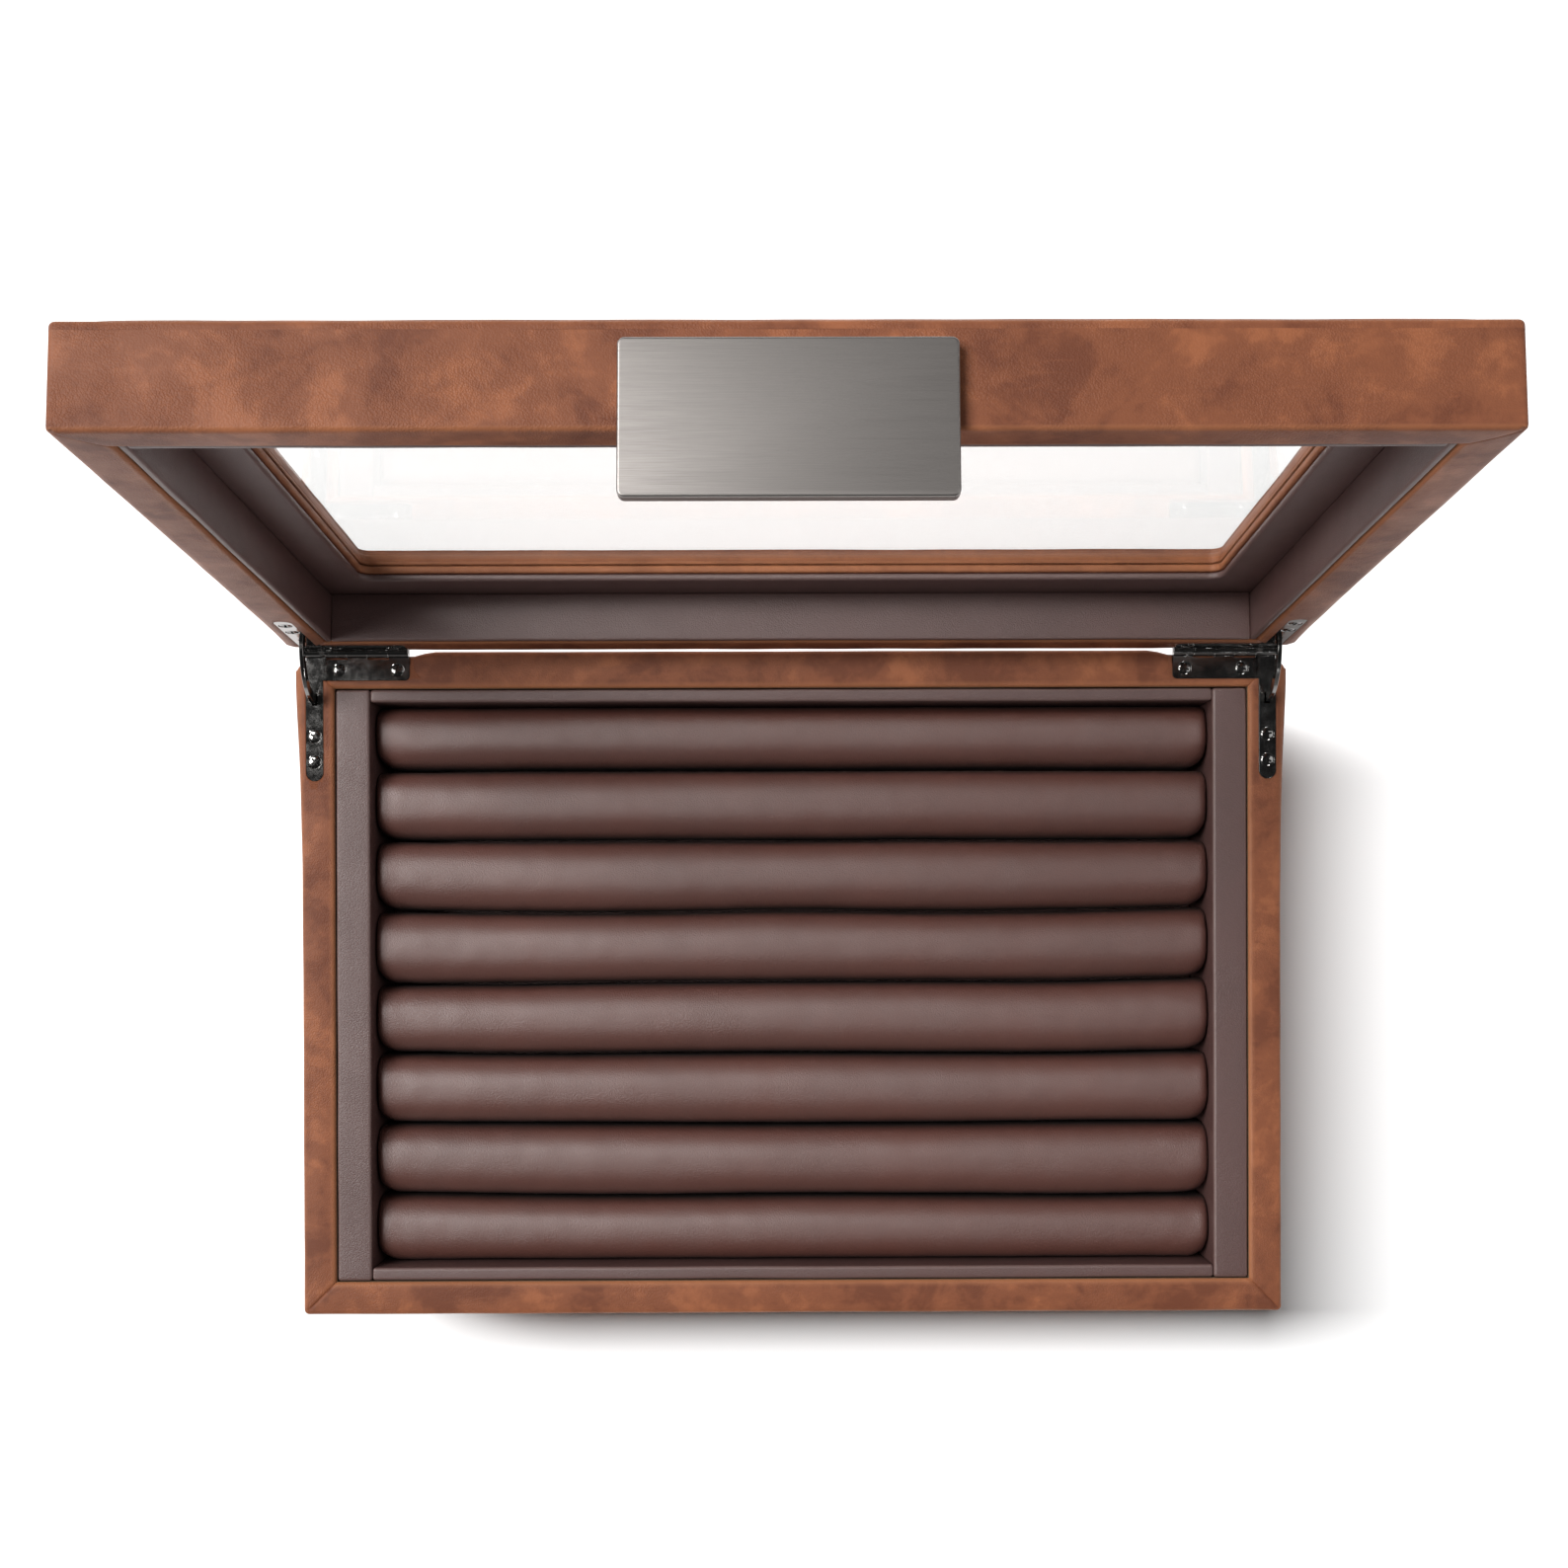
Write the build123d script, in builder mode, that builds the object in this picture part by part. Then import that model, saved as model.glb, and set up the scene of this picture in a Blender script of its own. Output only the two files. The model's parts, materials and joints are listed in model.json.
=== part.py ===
"""Cufflink box: a tray of padded rolls under a glazed lid, and a drawer below the tray.

Millimetres. The origin is the centre of the face that the box stands on, +Z is up, the drawer and the
lid's lifting plate face -Y, and the hinges are along the back edge at +Y. The lid stands open, leaning
back on its two stays, and the drawer is shut.
"""
from build123d import *
from math import asin, cos, degrees, radians, sin
import os

os.makedirs("parts", exist_ok=True)

SIDES = {"left": -1, "right": 1}
QUARTERS = ("front", "back", "left", "right")

# ---- the box from outside
box_width = 290.0
box_depth = 195.0
base_height = 95.0
leather = 1.0  # outer leather, wrapped over the boards and the rim
board = 8.6  # boards of the base and of the lid walls
back_corner = 4.0  # upright corners beside the hinges
front_corner = 1.5  # upright corners at the front
rim_round = 0.8  # outer edge of the rim

# ---- under the tray
foot_sheet = 1.2
foot_inset = 5.0
bottom_board = 6.0
divider = 6.0
bay_lining = 0.8

# ---- the tray
tray_depth = 37.8  # from the rim down to the board that the tray stands on
liner_gap = 0.3  # seam between the rim and a lining board
liner_side = 10.1
liner_end = 3.7
liner_drop = 0.8  # how far the lining boards sit below the rim
liner_round = 0.8
floor_pad = 4.0
roll_count = 8
roll_drop = 6.0
roll_seam = 0.4
roll_crown = 1.775  # flat on top of a roll, between its round shoulders
roll_end_round = 6.0
roll_end_gap = 0.5

# ---- the lid, shut
lid_gap = 0.4
lid_recess = 14.1
liner_panel = 2.0
frame_ring = 2.2
glass = 1.5
glass_cover = 0.8
top_padding = 2.4
padding_round = 1.1
lid_liner = 1.9
lid_liner_drop = 0.4
window_side = 24.0  # leather border beside the window
window_end = 27.0  # leather border before and behind it
window_corner = 3.0
panel_setback = 0.6  # lining panel, back from the window's edge
glass_bearing = 5.0
glass_play = 0.2
lid_open = 95.0

# ---- the lifting plate
plate_width = 67.0
plate_height = 32.0
plate = 3.0
plate_overhang = 14.2
plate_corner = 1.5
plate_edge = 0.5
plate_stand_off = 0.4
boss_width = 60.0
boss_height = 12.0

# ---- the two hinges with their stays
hinge_offset = 1.1  # from the back face to the hinge axis
barrel_radius = 1.7
pin_radius = 0.8
pin_play = 0.05
barrel_play = 0.3
leaf = 1.1
leaf_edge = 1.4
leaf_back = 1.1
leaf_length = 30.6
back_arm = 6.1
side_arm = 5.0
side_arm_length = 35.8
leaf_corner = 1.5
leaf_play = 0.15
knuckle_count = 5
knuckle_gap = 0.2
stay_radius = 14.0
stay_width = 2.8
stay = 1.2
stay_play = 0.3
stay_pin_radius = 1.0
stay_pin_length = 2.8
stay_pocket_play = 0.6

# ---- screws of the hinges
screw_head_radius = 2.0
screw_head = 0.9
screw_radius = 1.1
screw_length = 8.0
screw_play = 0.05
cross_length = 2.4
cross_width = 0.55
cross_depth = 0.5
back_screw_inset = 3.6
back_screw_pitch = 17.0
side_screw_inset = 5.6
side_screw_pitch = 7.6

# ---- the drawer
drawer_side_play = 0.8
drawer_top_play = 0.7
drawer_floor_play = 0.3
drawer_back_play = 0.8
drawer_front_board = 8.0
drawer_front_corner = 1.0
drawer_board = 6.0
drawer_bottom = 3.0
drawer_pad = 2.0
drawer_travel = 120.0
stop_drop = 2.6
stop_width = 6.0
stop_length = 120.0
stop_play = 0.5

# ---- the drawer's pull
pull_length = 68.0
pull_height = 8.0
pull_bar = 3.0
pull_gap = 6.0
pull_corner = 1.4
post_radius = 2.6
post_spacing = 48.0
pull_screw_radius = 1.5
pull_screw_bite = 4.0
pull_screw_head_radius = 3.2
pull_screw_head = 1.6
pull_screw_play = 0.1

# ---- faces that several pieces share
half_width = box_width / 2
half_depth = box_depth / 2
core_x = half_width - leather
core_y = half_depth - leather
inner_x = core_x - board
inner_y = core_y - board
board_top = base_height - leather
floor_low = foot_sheet
floor_top = floor_low + bottom_board
divider_top = base_height - tray_depth
bay_top = divider_top - divider
pad_top = divider_top + floor_pad
liner_top = base_height - liner_drop
tray_x = inner_x - liner_gap - liner_side
tray_y = inner_y - liner_gap - liner_end
window_x = half_width - window_side
window_y = half_depth - window_end

# heights in the lid, counted from its rim
panel_low = lid_recess
ring_low = panel_low + liner_panel
glass_low = ring_low + frame_ring
cover_low = glass_low + glass
padding_low = cover_low + glass_cover
padding_top = padding_low + top_padding

# the hinge axis and the lid's own frame, turned open about it
axis_y = half_depth + hinge_offset
axis_z = base_height + lid_gap / 2
lid_swing = Location((0, axis_y, axis_z)) * Location((0, 0, 0), (-lid_open, 0, 0))
lid_frame = Plane(lid_swing * Location((0, -axis_y, lid_gap / 2)))
lid_height = Axis(lid_frame.origin, lid_frame.z_dir)
lid_depth = Axis(lid_frame.origin, lid_frame.y_dir)
rim_frame = Plane.XY.offset(base_height)

# hinge leaves, drawn from above on the rim
leaf_x = half_width - leaf_edge
leaf_y = half_depth - leaf_back
leaf_start = leaf_x - leaf_length
side_arm_x = leaf_x - side_arm / 2
knuckle_pitch = leaf_length / knuckle_count

# the stay's end pins hold behind the leaves when the lid is open
pin_below_axis = lid_gap / 2 + leaf + stay_pin_radius + leaf_play
stay_overlap = degrees(asin(pin_below_axis / stay_radius))
stay_sweep = lid_open + 2 * stay_overlap
pocket_depth = (stay_radius + stay_width / 2) * sin(radians(stay_sweep / 2)) + stay_pin_radius
pocket_near = stay_radius * cos(radians(stay_sweep / 2)) - stay_width / 2
pocket_far = stay_radius + stay_width / 2

# the drawer, shut
drawer_x = inner_x - drawer_side_play
drawer_low = floor_top + bay_lining + drawer_floor_play
drawer_front_top = bay_top - drawer_top_play
drawer_side_top = bay_top - stop_drop - stop_play
drawer_front_back = -half_depth + leather + drawer_front_board
drawer_back = inner_y - drawer_back_play
drawer_inner_x = drawer_x - drawer_board
drawer_inner_back = drawer_back - drawer_board
drawer_floor = drawer_low + drawer_bottom
pull_z = (drawer_low + drawer_front_top) / 2


def save(piece, name):
    """Labels a finished piece and writes it under its own name."""
    piece.part.label = name
    export_step(piece.part, f"parts/{name}.step")


def slab(x_pair, y_pair, z_pair, mode=Mode.ADD):
    """A block between two faces along each axis of the frame that the piece is built in."""
    middle = [(pair[0] + pair[1]) / 2 for pair in (x_pair, y_pair, z_pair)]
    size = [abs(pair[1] - pair[0]) for pair in (x_pair, y_pair, z_pair)]
    with Locations(tuple(middle)):
        Box(*size, mode=mode)


def footprint(inset):
    """The box from above, inset from its outer faces: soft corners behind, crisp ones in front."""
    with BuildSketch(mode=Mode.PRIVATE) as outline:
        Rectangle(2 * (half_width - inset), 2 * (half_depth - inset))
        fillet(outline.vertices().group_by(Axis.Y)[-1], back_corner - inset)
        fillet(outline.vertices().group_by(Axis.Y)[0], front_corner - inset)
    return outline.sketch_local


def side_plane(frame, x):
    """A plane across the frame at x, whose own axes are the frame's Y and Z."""
    return Plane(origin=frame.from_local_coords((x, 0, 0)), x_dir=frame.y_dir, z_dir=frame.x_dir)


def wall_strip(quarter, outer_inset, thick, end_inset):
    """Centre and size, seen from above, of the strip along one wall."""
    if quarter in SIDES:
        middle = (SIDES[quarter] * (half_width - outer_inset - thick / 2), 0)
        return middle, (thick, 2 * (half_depth - end_inset))
    sign = 1 if quarter == "back" else -1
    middle = (0, sign * (half_depth - outer_inset - thick / 2))
    return middle, (2 * (half_width - end_inset), thick)


def mitre(quarter):
    """One wall's share of the box seen from above, cut at 45 degrees through both its corners."""
    reach = 2 * (leather + board)
    over = leather
    x_out, y_out = half_width + over, half_depth + over
    x_in, y_in = half_width - reach, half_depth - reach
    with BuildSketch(mode=Mode.PRIVATE) as share:
        with BuildLine():
            if quarter in SIDES:
                s = SIDES[quarter]
                Polyline((s * x_out, -y_out), (s * x_out, y_out), (s * x_in, y_in), (s * x_in, -y_in), close=True)
            else:
                s = 1 if quarter == "back" else -1
                Polyline((-x_out, s * y_out), (x_out, s * y_out), (x_in, s * y_in), (-x_in, s * y_in), close=True)
        make_face()
    return share.sketch_local


# ---------------------------------------------------------------- hinge shapes


def screw_places(side):
    """Where one leaf's four screws stand, seen from above."""
    sign = SIDES[side]
    places = [(sign * (leaf_start + back_screw_inset + i * back_screw_pitch), leaf_y - back_arm / 2) for i in range(2)]
    first = leaf_y - side_arm_length + side_screw_inset
    places += [(sign * side_arm_x, first + i * side_screw_pitch) for i in range(2)]
    return places


def leaf_outline(side, play):
    """The L of a hinge leaf: one arm along the back edge and a round-ended one along the side."""
    sign = SIDES[side]
    with Locations((sign * (leaf_x - leaf_length / 2), leaf_y - back_arm / 2)):
        RectangleRounded(leaf_length + 2 * play, back_arm + 2 * play, leaf_corner)
    with Locations((sign * side_arm_x, leaf_y - side_arm_length / 2)):
        SlotOverall(side_arm_length + 2 * play, side_arm + 2 * play, rotation=90)


def screw_body(place, up, play, length):
    """A countersunk screw with its head flush in the frame's XY plane, driven along up."""
    wide, narrow = screw_head_radius + play, screw_radius + play
    with Locations((*place, up * screw_head / 2)):
        if up > 0:
            Cone(wide, narrow, screw_head, mode=Mode.ADD if length else Mode.SUBTRACT)
        else:
            Cone(narrow, wide, screw_head, mode=Mode.ADD if length else Mode.SUBTRACT)
    shank = (length or 2 * leaf) - screw_head
    with Locations((*place, up * (screw_head + shank / 2))):
        Cylinder(narrow, shank, mode=Mode.ADD if length else Mode.SUBTRACT)


def cut_for_hinge(frame, side, up):
    """Clears a rim for a hinge: the leaf's bed, the barrel's notch, the stay's pocket, the screw holes."""
    sign = SIDES[side]
    with BuildSketch(frame) as bed:
        leaf_outline(side, leaf_play)
    extrude(bed.sketch, amount=up * (leaf + leaf_play), mode=Mode.SUBTRACT)
    notch = barrel_radius + barrel_play
    barrel_span = (sign * (leaf_start - barrel_play), sign * (leaf_x + barrel_play))
    barrel_low = up * (notch - lid_gap / 2)
    slab(barrel_span, (leaf_y - leaf_corner, axis_y + notch), (0, barrel_low), Mode.SUBTRACT)
    half_pocket = stay_pin_length / 2 + stay_pocket_play
    pocket_x = (sign * (side_arm_x - half_pocket), sign * (side_arm_x + half_pocket))
    pocket_y = (axis_y - pocket_far - stay_pocket_play, axis_y - pocket_near + stay_pocket_play)
    slab(pocket_x, pocket_y, (0, up * (pocket_depth + stay_pocket_play)), Mode.SUBTRACT)
    for place in screw_places(side):
        with Locations((*place, up * (screw_length + screw_play) / 2)):
            Cylinder(screw_radius + screw_play, screw_length + screw_play, mode=Mode.SUBTRACT)


def make_leaf(name, frame, side, up, knuckles):
    """A hinge leaf set flush in a rim, with its share of the barrel. up points into the board."""
    sign = SIDES[side]
    axis_height = -up * lid_gap / 2
    with BuildPart(frame) as hinge_leaf:
        with BuildSketch(frame):
            leaf_outline(side, 0)
        extrude(amount=up * leaf)
        for k in knuckles:
            start = leaf_start + k * knuckle_pitch + knuckle_gap / 2
            length = knuckle_pitch - knuckle_gap
            x = sign * start if sign > 0 else sign * (start + length)
            with BuildSketch(side_plane(frame, x)):
                with Locations((axis_y, axis_height)):
                    Circle(barrel_radius)
                tongue = axis_y - leaf_y + leaf_corner
                with Locations((axis_y - tongue / 2, up * leaf / 2)):
                    Rectangle(tongue, leaf)
            extrude(amount=length)
        with BuildSketch(side_plane(frame, -half_width)):
            with Locations((axis_y, axis_height)):
                Circle(pin_radius + pin_play)
        extrude(amount=box_width, mode=Mode.SUBTRACT)
        slot_x = stay / 2 + stay_play
        slot_y = (axis_y - pocket_far - stay_play, axis_y - stay_radius + stay_width / 2 + stay_play)
        slab((sign * side_arm_x - slot_x, sign * side_arm_x + slot_x), slot_y, (-leaf, leaf), Mode.SUBTRACT)
        for place in screw_places(side):
            screw_body(place, up, screw_play, 0)
    save(hinge_leaf, name)


def make_screws(name, frame, up):
    """The eight cross-head screws of one pair of leaves."""
    with BuildPart(frame) as screws:
        for side in SIDES:
            for place in screw_places(side):
                screw_body(place, up, 0, screw_length)
                with Locations((*place, up * cross_depth / 2)):
                    Box(cross_length, cross_width, cross_depth, mode=Mode.SUBTRACT)
                    Box(cross_width, cross_length, cross_depth, mode=Mode.SUBTRACT)
    save(screws, name)


# ---------------------------------------------------------------- base

with BuildPart() as bottom_sheet:
    with BuildSketch():
        Rectangle(box_width - 2 * foot_inset, box_depth - 2 * foot_inset)
    extrude(amount=foot_sheet)
save(bottom_sheet, "bottom_suede_sheet")

with BuildPart() as bottom:
    with BuildSketch(Plane.XY.offset(floor_low)):
        add(footprint(leather))
    extrude(amount=bottom_board)
save(bottom, "bottom_board")

for side in SIDES:
    with BuildPart(rim_frame) as side_board:
        middle, size = wall_strip(side, leather, board, leather)
        with BuildSketch(Plane.XY.offset(floor_top)):
            add(footprint(leather))
            with Locations(middle):
                Rectangle(*size, mode=Mode.INTERSECT)
        extrude(amount=board_top - floor_top)
        cut_for_hinge(rim_frame, side, -1)
    save(side_board, f"base_side_board_{side}")

with BuildPart(rim_frame) as back_board:
    slab((-inner_x, inner_x), (inner_y, core_y), (floor_top - base_height, -leather))
    for side in SIDES:
        cut_for_hinge(rim_frame, side, -1)
save(back_board, "base_back_board")

with BuildPart() as fascia:
    slab((-inner_x, inner_x), (-core_y, -inner_y), (bay_top, board_top))
save(fascia, "base_front_fascia")

with BuildPart() as tray_divider:
    slab((-inner_x, inner_x), (-inner_y, inner_y), (bay_top, divider_top))
save(tray_divider, "tray_divider_board")

for quarter in QUARTERS:
    with BuildPart(rim_frame) as skin:
        with BuildSketch(Plane.XY.offset(floor_low)):
            add(footprint(0))
            add(footprint(leather), mode=Mode.SUBTRACT)
        extrude(amount=base_height - floor_low)
        with BuildSketch(Plane.XY.offset(board_top)):
            add(footprint(leather))
            Rectangle(2 * inner_x, 2 * inner_y, mode=Mode.SUBTRACT)
        extrude(amount=leather)
        fillet(skin.faces().sort_by(Axis.Z)[-1].edges(), rim_round)
        with BuildSketch(Plane.XY.offset(floor_low)):
            add(mitre(quarter))
        extrude(amount=base_height - floor_low, mode=Mode.INTERSECT)
        if quarter == "front":
            slab((-inner_x, inner_x), (-half_depth, -core_y), (floor_top - base_height, bay_top - base_height),
                 Mode.SUBTRACT)
        else:
            for side in SIDES:
                if quarter in ("back", side):
                    cut_for_hinge(rim_frame, side, -1)
    save(skin, f"base_leather_{quarter}")

for side, sign in SIDES.items():
    with BuildPart() as side_liner:
        slab((sign * tray_x, sign * (tray_x + liner_side)), (liner_gap - inner_y, inner_y - liner_gap),
             (divider_top, liner_top))
        fillet(side_liner.faces().sort_by(Axis.Z)[-1].edges(), liner_round)
    save(side_liner, f"tray_liner_{side}")

for quarter, sign in (("front", -1), ("back", 1)):
    with BuildPart() as end_liner:
        slab((-tray_x, tray_x), (sign * tray_y, sign * (tray_y + liner_end)), (divider_top, liner_top - leather / 2))
        fillet(end_liner.faces().sort_by(Axis.Z)[-1].edges().filter_by(Axis.X), liner_round)
    save(end_liner, f"tray_liner_{quarter}")

with BuildPart() as tray_pad:
    slab((-tray_x, tray_x), (-tray_y, tray_y), (divider_top, pad_top))
save(tray_pad, "tray_floor_pad")

roll_pitch = 2 * tray_y / roll_count
roll_width = roll_pitch - roll_seam
roll_top = base_height - roll_drop
roll_reach = tray_x - roll_end_gap
for number in range(1, roll_count + 1):
    with BuildPart() as roll:
        with BuildSketch(Plane.YZ.offset(-roll_reach)):
            with Locations((tray_y - (number - 0.5) * roll_pitch, (pad_top + roll_top) / 2)):
                RectangleRounded(roll_width, roll_top - pad_top, (roll_width - roll_crown) / 2)
        extrude(amount=2 * roll_reach)
        roll_ends = roll.faces().filter_by(Axis.X)
        fillet(roll_ends.edges(), roll_end_round)
    save(roll, f"cufflink_roll_{number}")

with BuildPart() as bay_sheet:
    slab((-inner_x, inner_x), (drawer_front_back, inner_y), (floor_top, floor_top + bay_lining))
save(bay_sheet, "drawer_bay_lining")

with BuildPart() as stop_rail:
    stop_back = drawer_inner_back - drawer_travel
    slab((-stop_length / 2, stop_length / 2), (stop_back - stop_width, stop_back), (bay_top - stop_drop, bay_top))
save(stop_rail, "drawer_stop_rail")

# ---------------------------------------------------------------- hinges

for side, sign in SIDES.items():
    make_leaf(f"hinge_base_leaf_{side}", rim_frame, side, -1, range(0, knuckle_count, 2))
    make_leaf(f"hinge_lid_leaf_{side}", lid_frame, side, 1, range(1, knuckle_count, 2))
    stay_plane = Plane.YZ.offset(sign * side_arm_x)
    centre = (axis_y, axis_z)
    start_angle = 180 - lid_open - stay_overlap
    with BuildPart() as lid_stay:
        with BuildSketch(stay_plane):
            with BuildLine():
                outer = CenterArc(centre, stay_radius + stay_width / 2, start_angle, stay_sweep)
                inner = CenterArc(centre, stay_radius - stay_width / 2, start_angle, stay_sweep)
                Line(outer @ 0, inner @ 0)
                Line(outer @ 1, inner @ 1)
            make_face()
            with Locations(centre):
                with PolarLocations(stay_radius, 2, start_angle, stay_sweep, endpoint=True):
                    Circle(stay_width / 2)
        extrude(amount=stay / 2, both=True)
        with BuildSketch(stay_plane):
            with Locations(centre):
                with PolarLocations(stay_radius, 2, start_angle, stay_sweep, endpoint=True):
                    Circle(stay_pin_radius)
        extrude(amount=stay_pin_length / 2, both=True)
    save(lid_stay, f"lid_stay_{side}")

make_screws("hinge_screws_base", rim_frame, -1)
make_screws("hinge_screws_lid", lid_frame, 1)

with BuildPart() as hinge_pins:
    for sign in SIDES.values():
        with BuildSketch(Plane.YZ.offset(sign * (leaf_start + leaf_x) / 2)):
            with Locations((axis_y, axis_z)):
                Circle(pin_radius)
        extrude(amount=leaf_length / 2, both=True)
save(hinge_pins, "hinge_pins")

# ---------------------------------------------------------------- lid

for quarter in QUARTERS:
    middle, size = wall_strip(quarter, leather, board, leather if quarter in SIDES else leather + board)
    with BuildPart(lid_frame) as wall:
        with BuildSketch(lid_frame.offset(leather)):
            add(footprint(leather))
            with Locations(middle):
                Rectangle(*size, mode=Mode.INTERSECT)
        extrude(amount=ring_low - leather)
        for side in SIDES:
            if quarter in ("back", side):
                cut_for_hinge(lid_frame, side, 1)
    save(wall, f"lid_board_{quarter}")

for quarter in QUARTERS:
    with BuildPart(lid_frame) as skin:
        with BuildSketch(lid_frame):
            add(footprint(0))
            add(footprint(leather), mode=Mode.SUBTRACT)
        extrude(amount=padding_low)
        with BuildSketch(lid_frame):
            add(footprint(leather))
            Rectangle(2 * inner_x, 2 * inner_y, mode=Mode.SUBTRACT)
        extrude(amount=leather)
        fillet(skin.faces().sort_by(lid_height)[0].edges(), rim_round)
        with BuildSketch(lid_frame):
            add(mitre(quarter))
        extrude(amount=padding_low, mode=Mode.INTERSECT)
        for side in SIDES:
            if quarter in ("back", side):
                cut_for_hinge(lid_frame, side, 1)
    save(skin, f"lid_leather_{quarter}")

with BuildPart(lid_frame) as ring:
    with BuildSketch(lid_frame.offset(ring_low)):
        add(footprint(leather))
        RectangleRounded(2 * window_x, 2 * window_y, window_corner, mode=Mode.SUBTRACT)
    extrude(amount=frame_ring)
save(ring, "lid_frame_panel")

with BuildPart(lid_frame) as top_ring:
    with BuildSketch(lid_frame.offset(glass_low)):
        add(footprint(leather))
        RectangleRounded(2 * window_x, 2 * window_y, window_corner, mode=Mode.SUBTRACT)
    extrude(amount=glass + glass_cover)
    bed_x = window_x + glass_bearing + glass_play
    bed_y = window_y + glass_bearing + glass_play
    slab((-bed_x, bed_x), (-bed_y, bed_y), (glass_low, cover_low), Mode.SUBTRACT)
save(top_ring, "lid_top_panel")

with BuildPart(lid_frame) as pane:
    pane_x, pane_y = window_x + glass_bearing, window_y + glass_bearing
    slab((-pane_x, pane_x), (-pane_y, pane_y), (glass_low, cover_low))
save(pane, "lid_glass_pane")

with BuildPart(lid_frame) as padding:
    with BuildSketch(lid_frame.offset(padding_low)):
        add(footprint(0))
        RectangleRounded(2 * window_x, 2 * window_y, window_corner, mode=Mode.SUBTRACT)
    extrude(amount=top_padding)
    fillet(padding.faces().sort_by(lid_height)[-1].edges(), padding_round)
save(padding, "lid_padded_leather_top")

with BuildPart(lid_frame) as panel:
    panel_x, panel_y = inner_x - liner_gap, inner_y - liner_gap
    slab((-panel_x, panel_x), (-panel_y, panel_y), (panel_low, ring_low))
    with BuildSketch(lid_frame.offset(panel_low)):
        RectangleRounded(2 * (window_x + panel_setback), 2 * (window_y + panel_setback), window_corner)
    extrude(amount=liner_panel, mode=Mode.SUBTRACT)
save(panel, "lid_liner_panel")

with BuildPart(lid_frame) as wall_liners:
    strip_z = (lid_liner_drop, panel_low)
    for sign in SIDES.values():
        slab((sign * panel_x, sign * (panel_x - lid_liner)), (-panel_y, panel_y), strip_z)
        slab((lid_liner - panel_x, panel_x - lid_liner), (sign * panel_y, sign * (panel_y - lid_liner)), strip_z)
save(wall_liners, "lid_wall_liners")

with BuildPart(lid_frame) as lifting_plate:
    plate_back = -half_depth - plate_stand_off
    plate_top = plate_height - plate_overhang
    slab((-plate_width / 2, plate_width / 2), (plate_back - plate, plate_back), (-plate_overhang, plate_top))
    fillet(lifting_plate.edges().filter_by(lid_depth), plate_corner)
    fillet(lifting_plate.faces().sort_by(lid_depth)[0].edges(), plate_edge)
    boss_low = (plate_top - boss_height) / 2
    slab((-boss_width / 2, boss_width / 2), (plate_back, -half_depth), (boss_low, boss_low + boss_height))
save(lifting_plate, "lid_lifting_plate")

# ---------------------------------------------------------------- drawer

pull_places = [(sign * post_spacing / 2, 0) for sign in SIDES.values()]
front_plane = Plane(origin=(0, -half_depth, pull_z), x_dir=(1, 0, 0), z_dir=(0, -1, 0))
front_height = drawer_front_top - drawer_low


def cut_pull_holes():
    """Holes for the pull's screws through the drawer front."""
    with BuildSketch(front_plane) as holes:
        with Locations(*pull_places):
            Circle(pull_screw_radius + pull_screw_play)
    extrude(holes.sketch, amount=-(leather + drawer_front_board), mode=Mode.SUBTRACT)


with BuildPart() as front_core:
    slab((leather - drawer_x, drawer_x - leather), (-core_y, drawer_front_back),
         (drawer_low + leather, drawer_front_top - leather))
    cut_pull_holes()
save(front_core, "drawer_front_board")

with BuildPart() as front_skin:
    with BuildSketch(front_plane):
        RectangleRounded(2 * drawer_x, front_height, drawer_front_corner)
    extrude(amount=-(leather + drawer_front_board))
    slab((leather - drawer_x, drawer_x - leather), (-core_y, drawer_front_back),
         (drawer_low + leather, drawer_front_top - leather), Mode.SUBTRACT)
    cut_pull_holes()
save(front_skin, "drawer_front_leather")

for side, sign in SIDES.items():
    with BuildPart() as drawer_side:
        slab((sign * drawer_inner_x, sign * drawer_x), (drawer_front_back, drawer_back), (drawer_low, drawer_side_top))
    save(drawer_side, f"drawer_side_{side}")

with BuildPart() as drawer_rear:
    slab((-drawer_inner_x, drawer_inner_x), (drawer_inner_back, drawer_back), (drawer_low, drawer_front_top))
save(drawer_rear, "drawer_back")

with BuildPart() as drawer_base:
    slab((-drawer_inner_x, drawer_inner_x), (drawer_front_back, drawer_inner_back), (drawer_low, drawer_floor))
save(drawer_base, "drawer_bottom")

with BuildPart() as drawer_cushion:
    slab((-drawer_inner_x, drawer_inner_x), (drawer_front_back, drawer_inner_back),
         (drawer_floor, drawer_floor + drawer_pad))
save(drawer_cushion, "drawer_floor_pad")

with BuildPart() as pull:
    with BuildSketch(front_plane.offset(pull_gap)):
        RectangleRounded(pull_length, pull_height, pull_corner)
    extrude(amount=pull_bar)
    with BuildSketch(front_plane):
        with Locations(*pull_places):
            Circle(post_radius)
    extrude(amount=pull_gap)
    with BuildSketch(front_plane):
        with Locations(*pull_places):
            Circle(pull_screw_radius + screw_play)
    extrude(amount=pull_screw_bite, mode=Mode.SUBTRACT)
save(pull, "drawer_pull")

with BuildPart() as pull_screws:
    screw_span = leather + drawer_front_board + pull_screw_bite - screw_play
    with BuildSketch(front_plane.offset(pull_screw_bite - screw_play)):
        with Locations(*pull_places):
            Circle(pull_screw_radius)
    extrude(amount=-screw_span)
    with BuildSketch(front_plane.offset(-leather - drawer_front_board)):
        with Locations(*pull_places):
            Circle(pull_screw_head_radius)
    extrude(amount=-pull_screw_head)
save(pull_screws, "drawer_pull_screws")
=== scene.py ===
import json
import math
import random

import bmesh
import bpy
from bpy.props import FloatProperty, FloatVectorProperty, IntProperty, PointerProperty
from bpy.types import Operator, Panel, PropertyGroup
from mathutils import Matrix, Vector, noise

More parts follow.
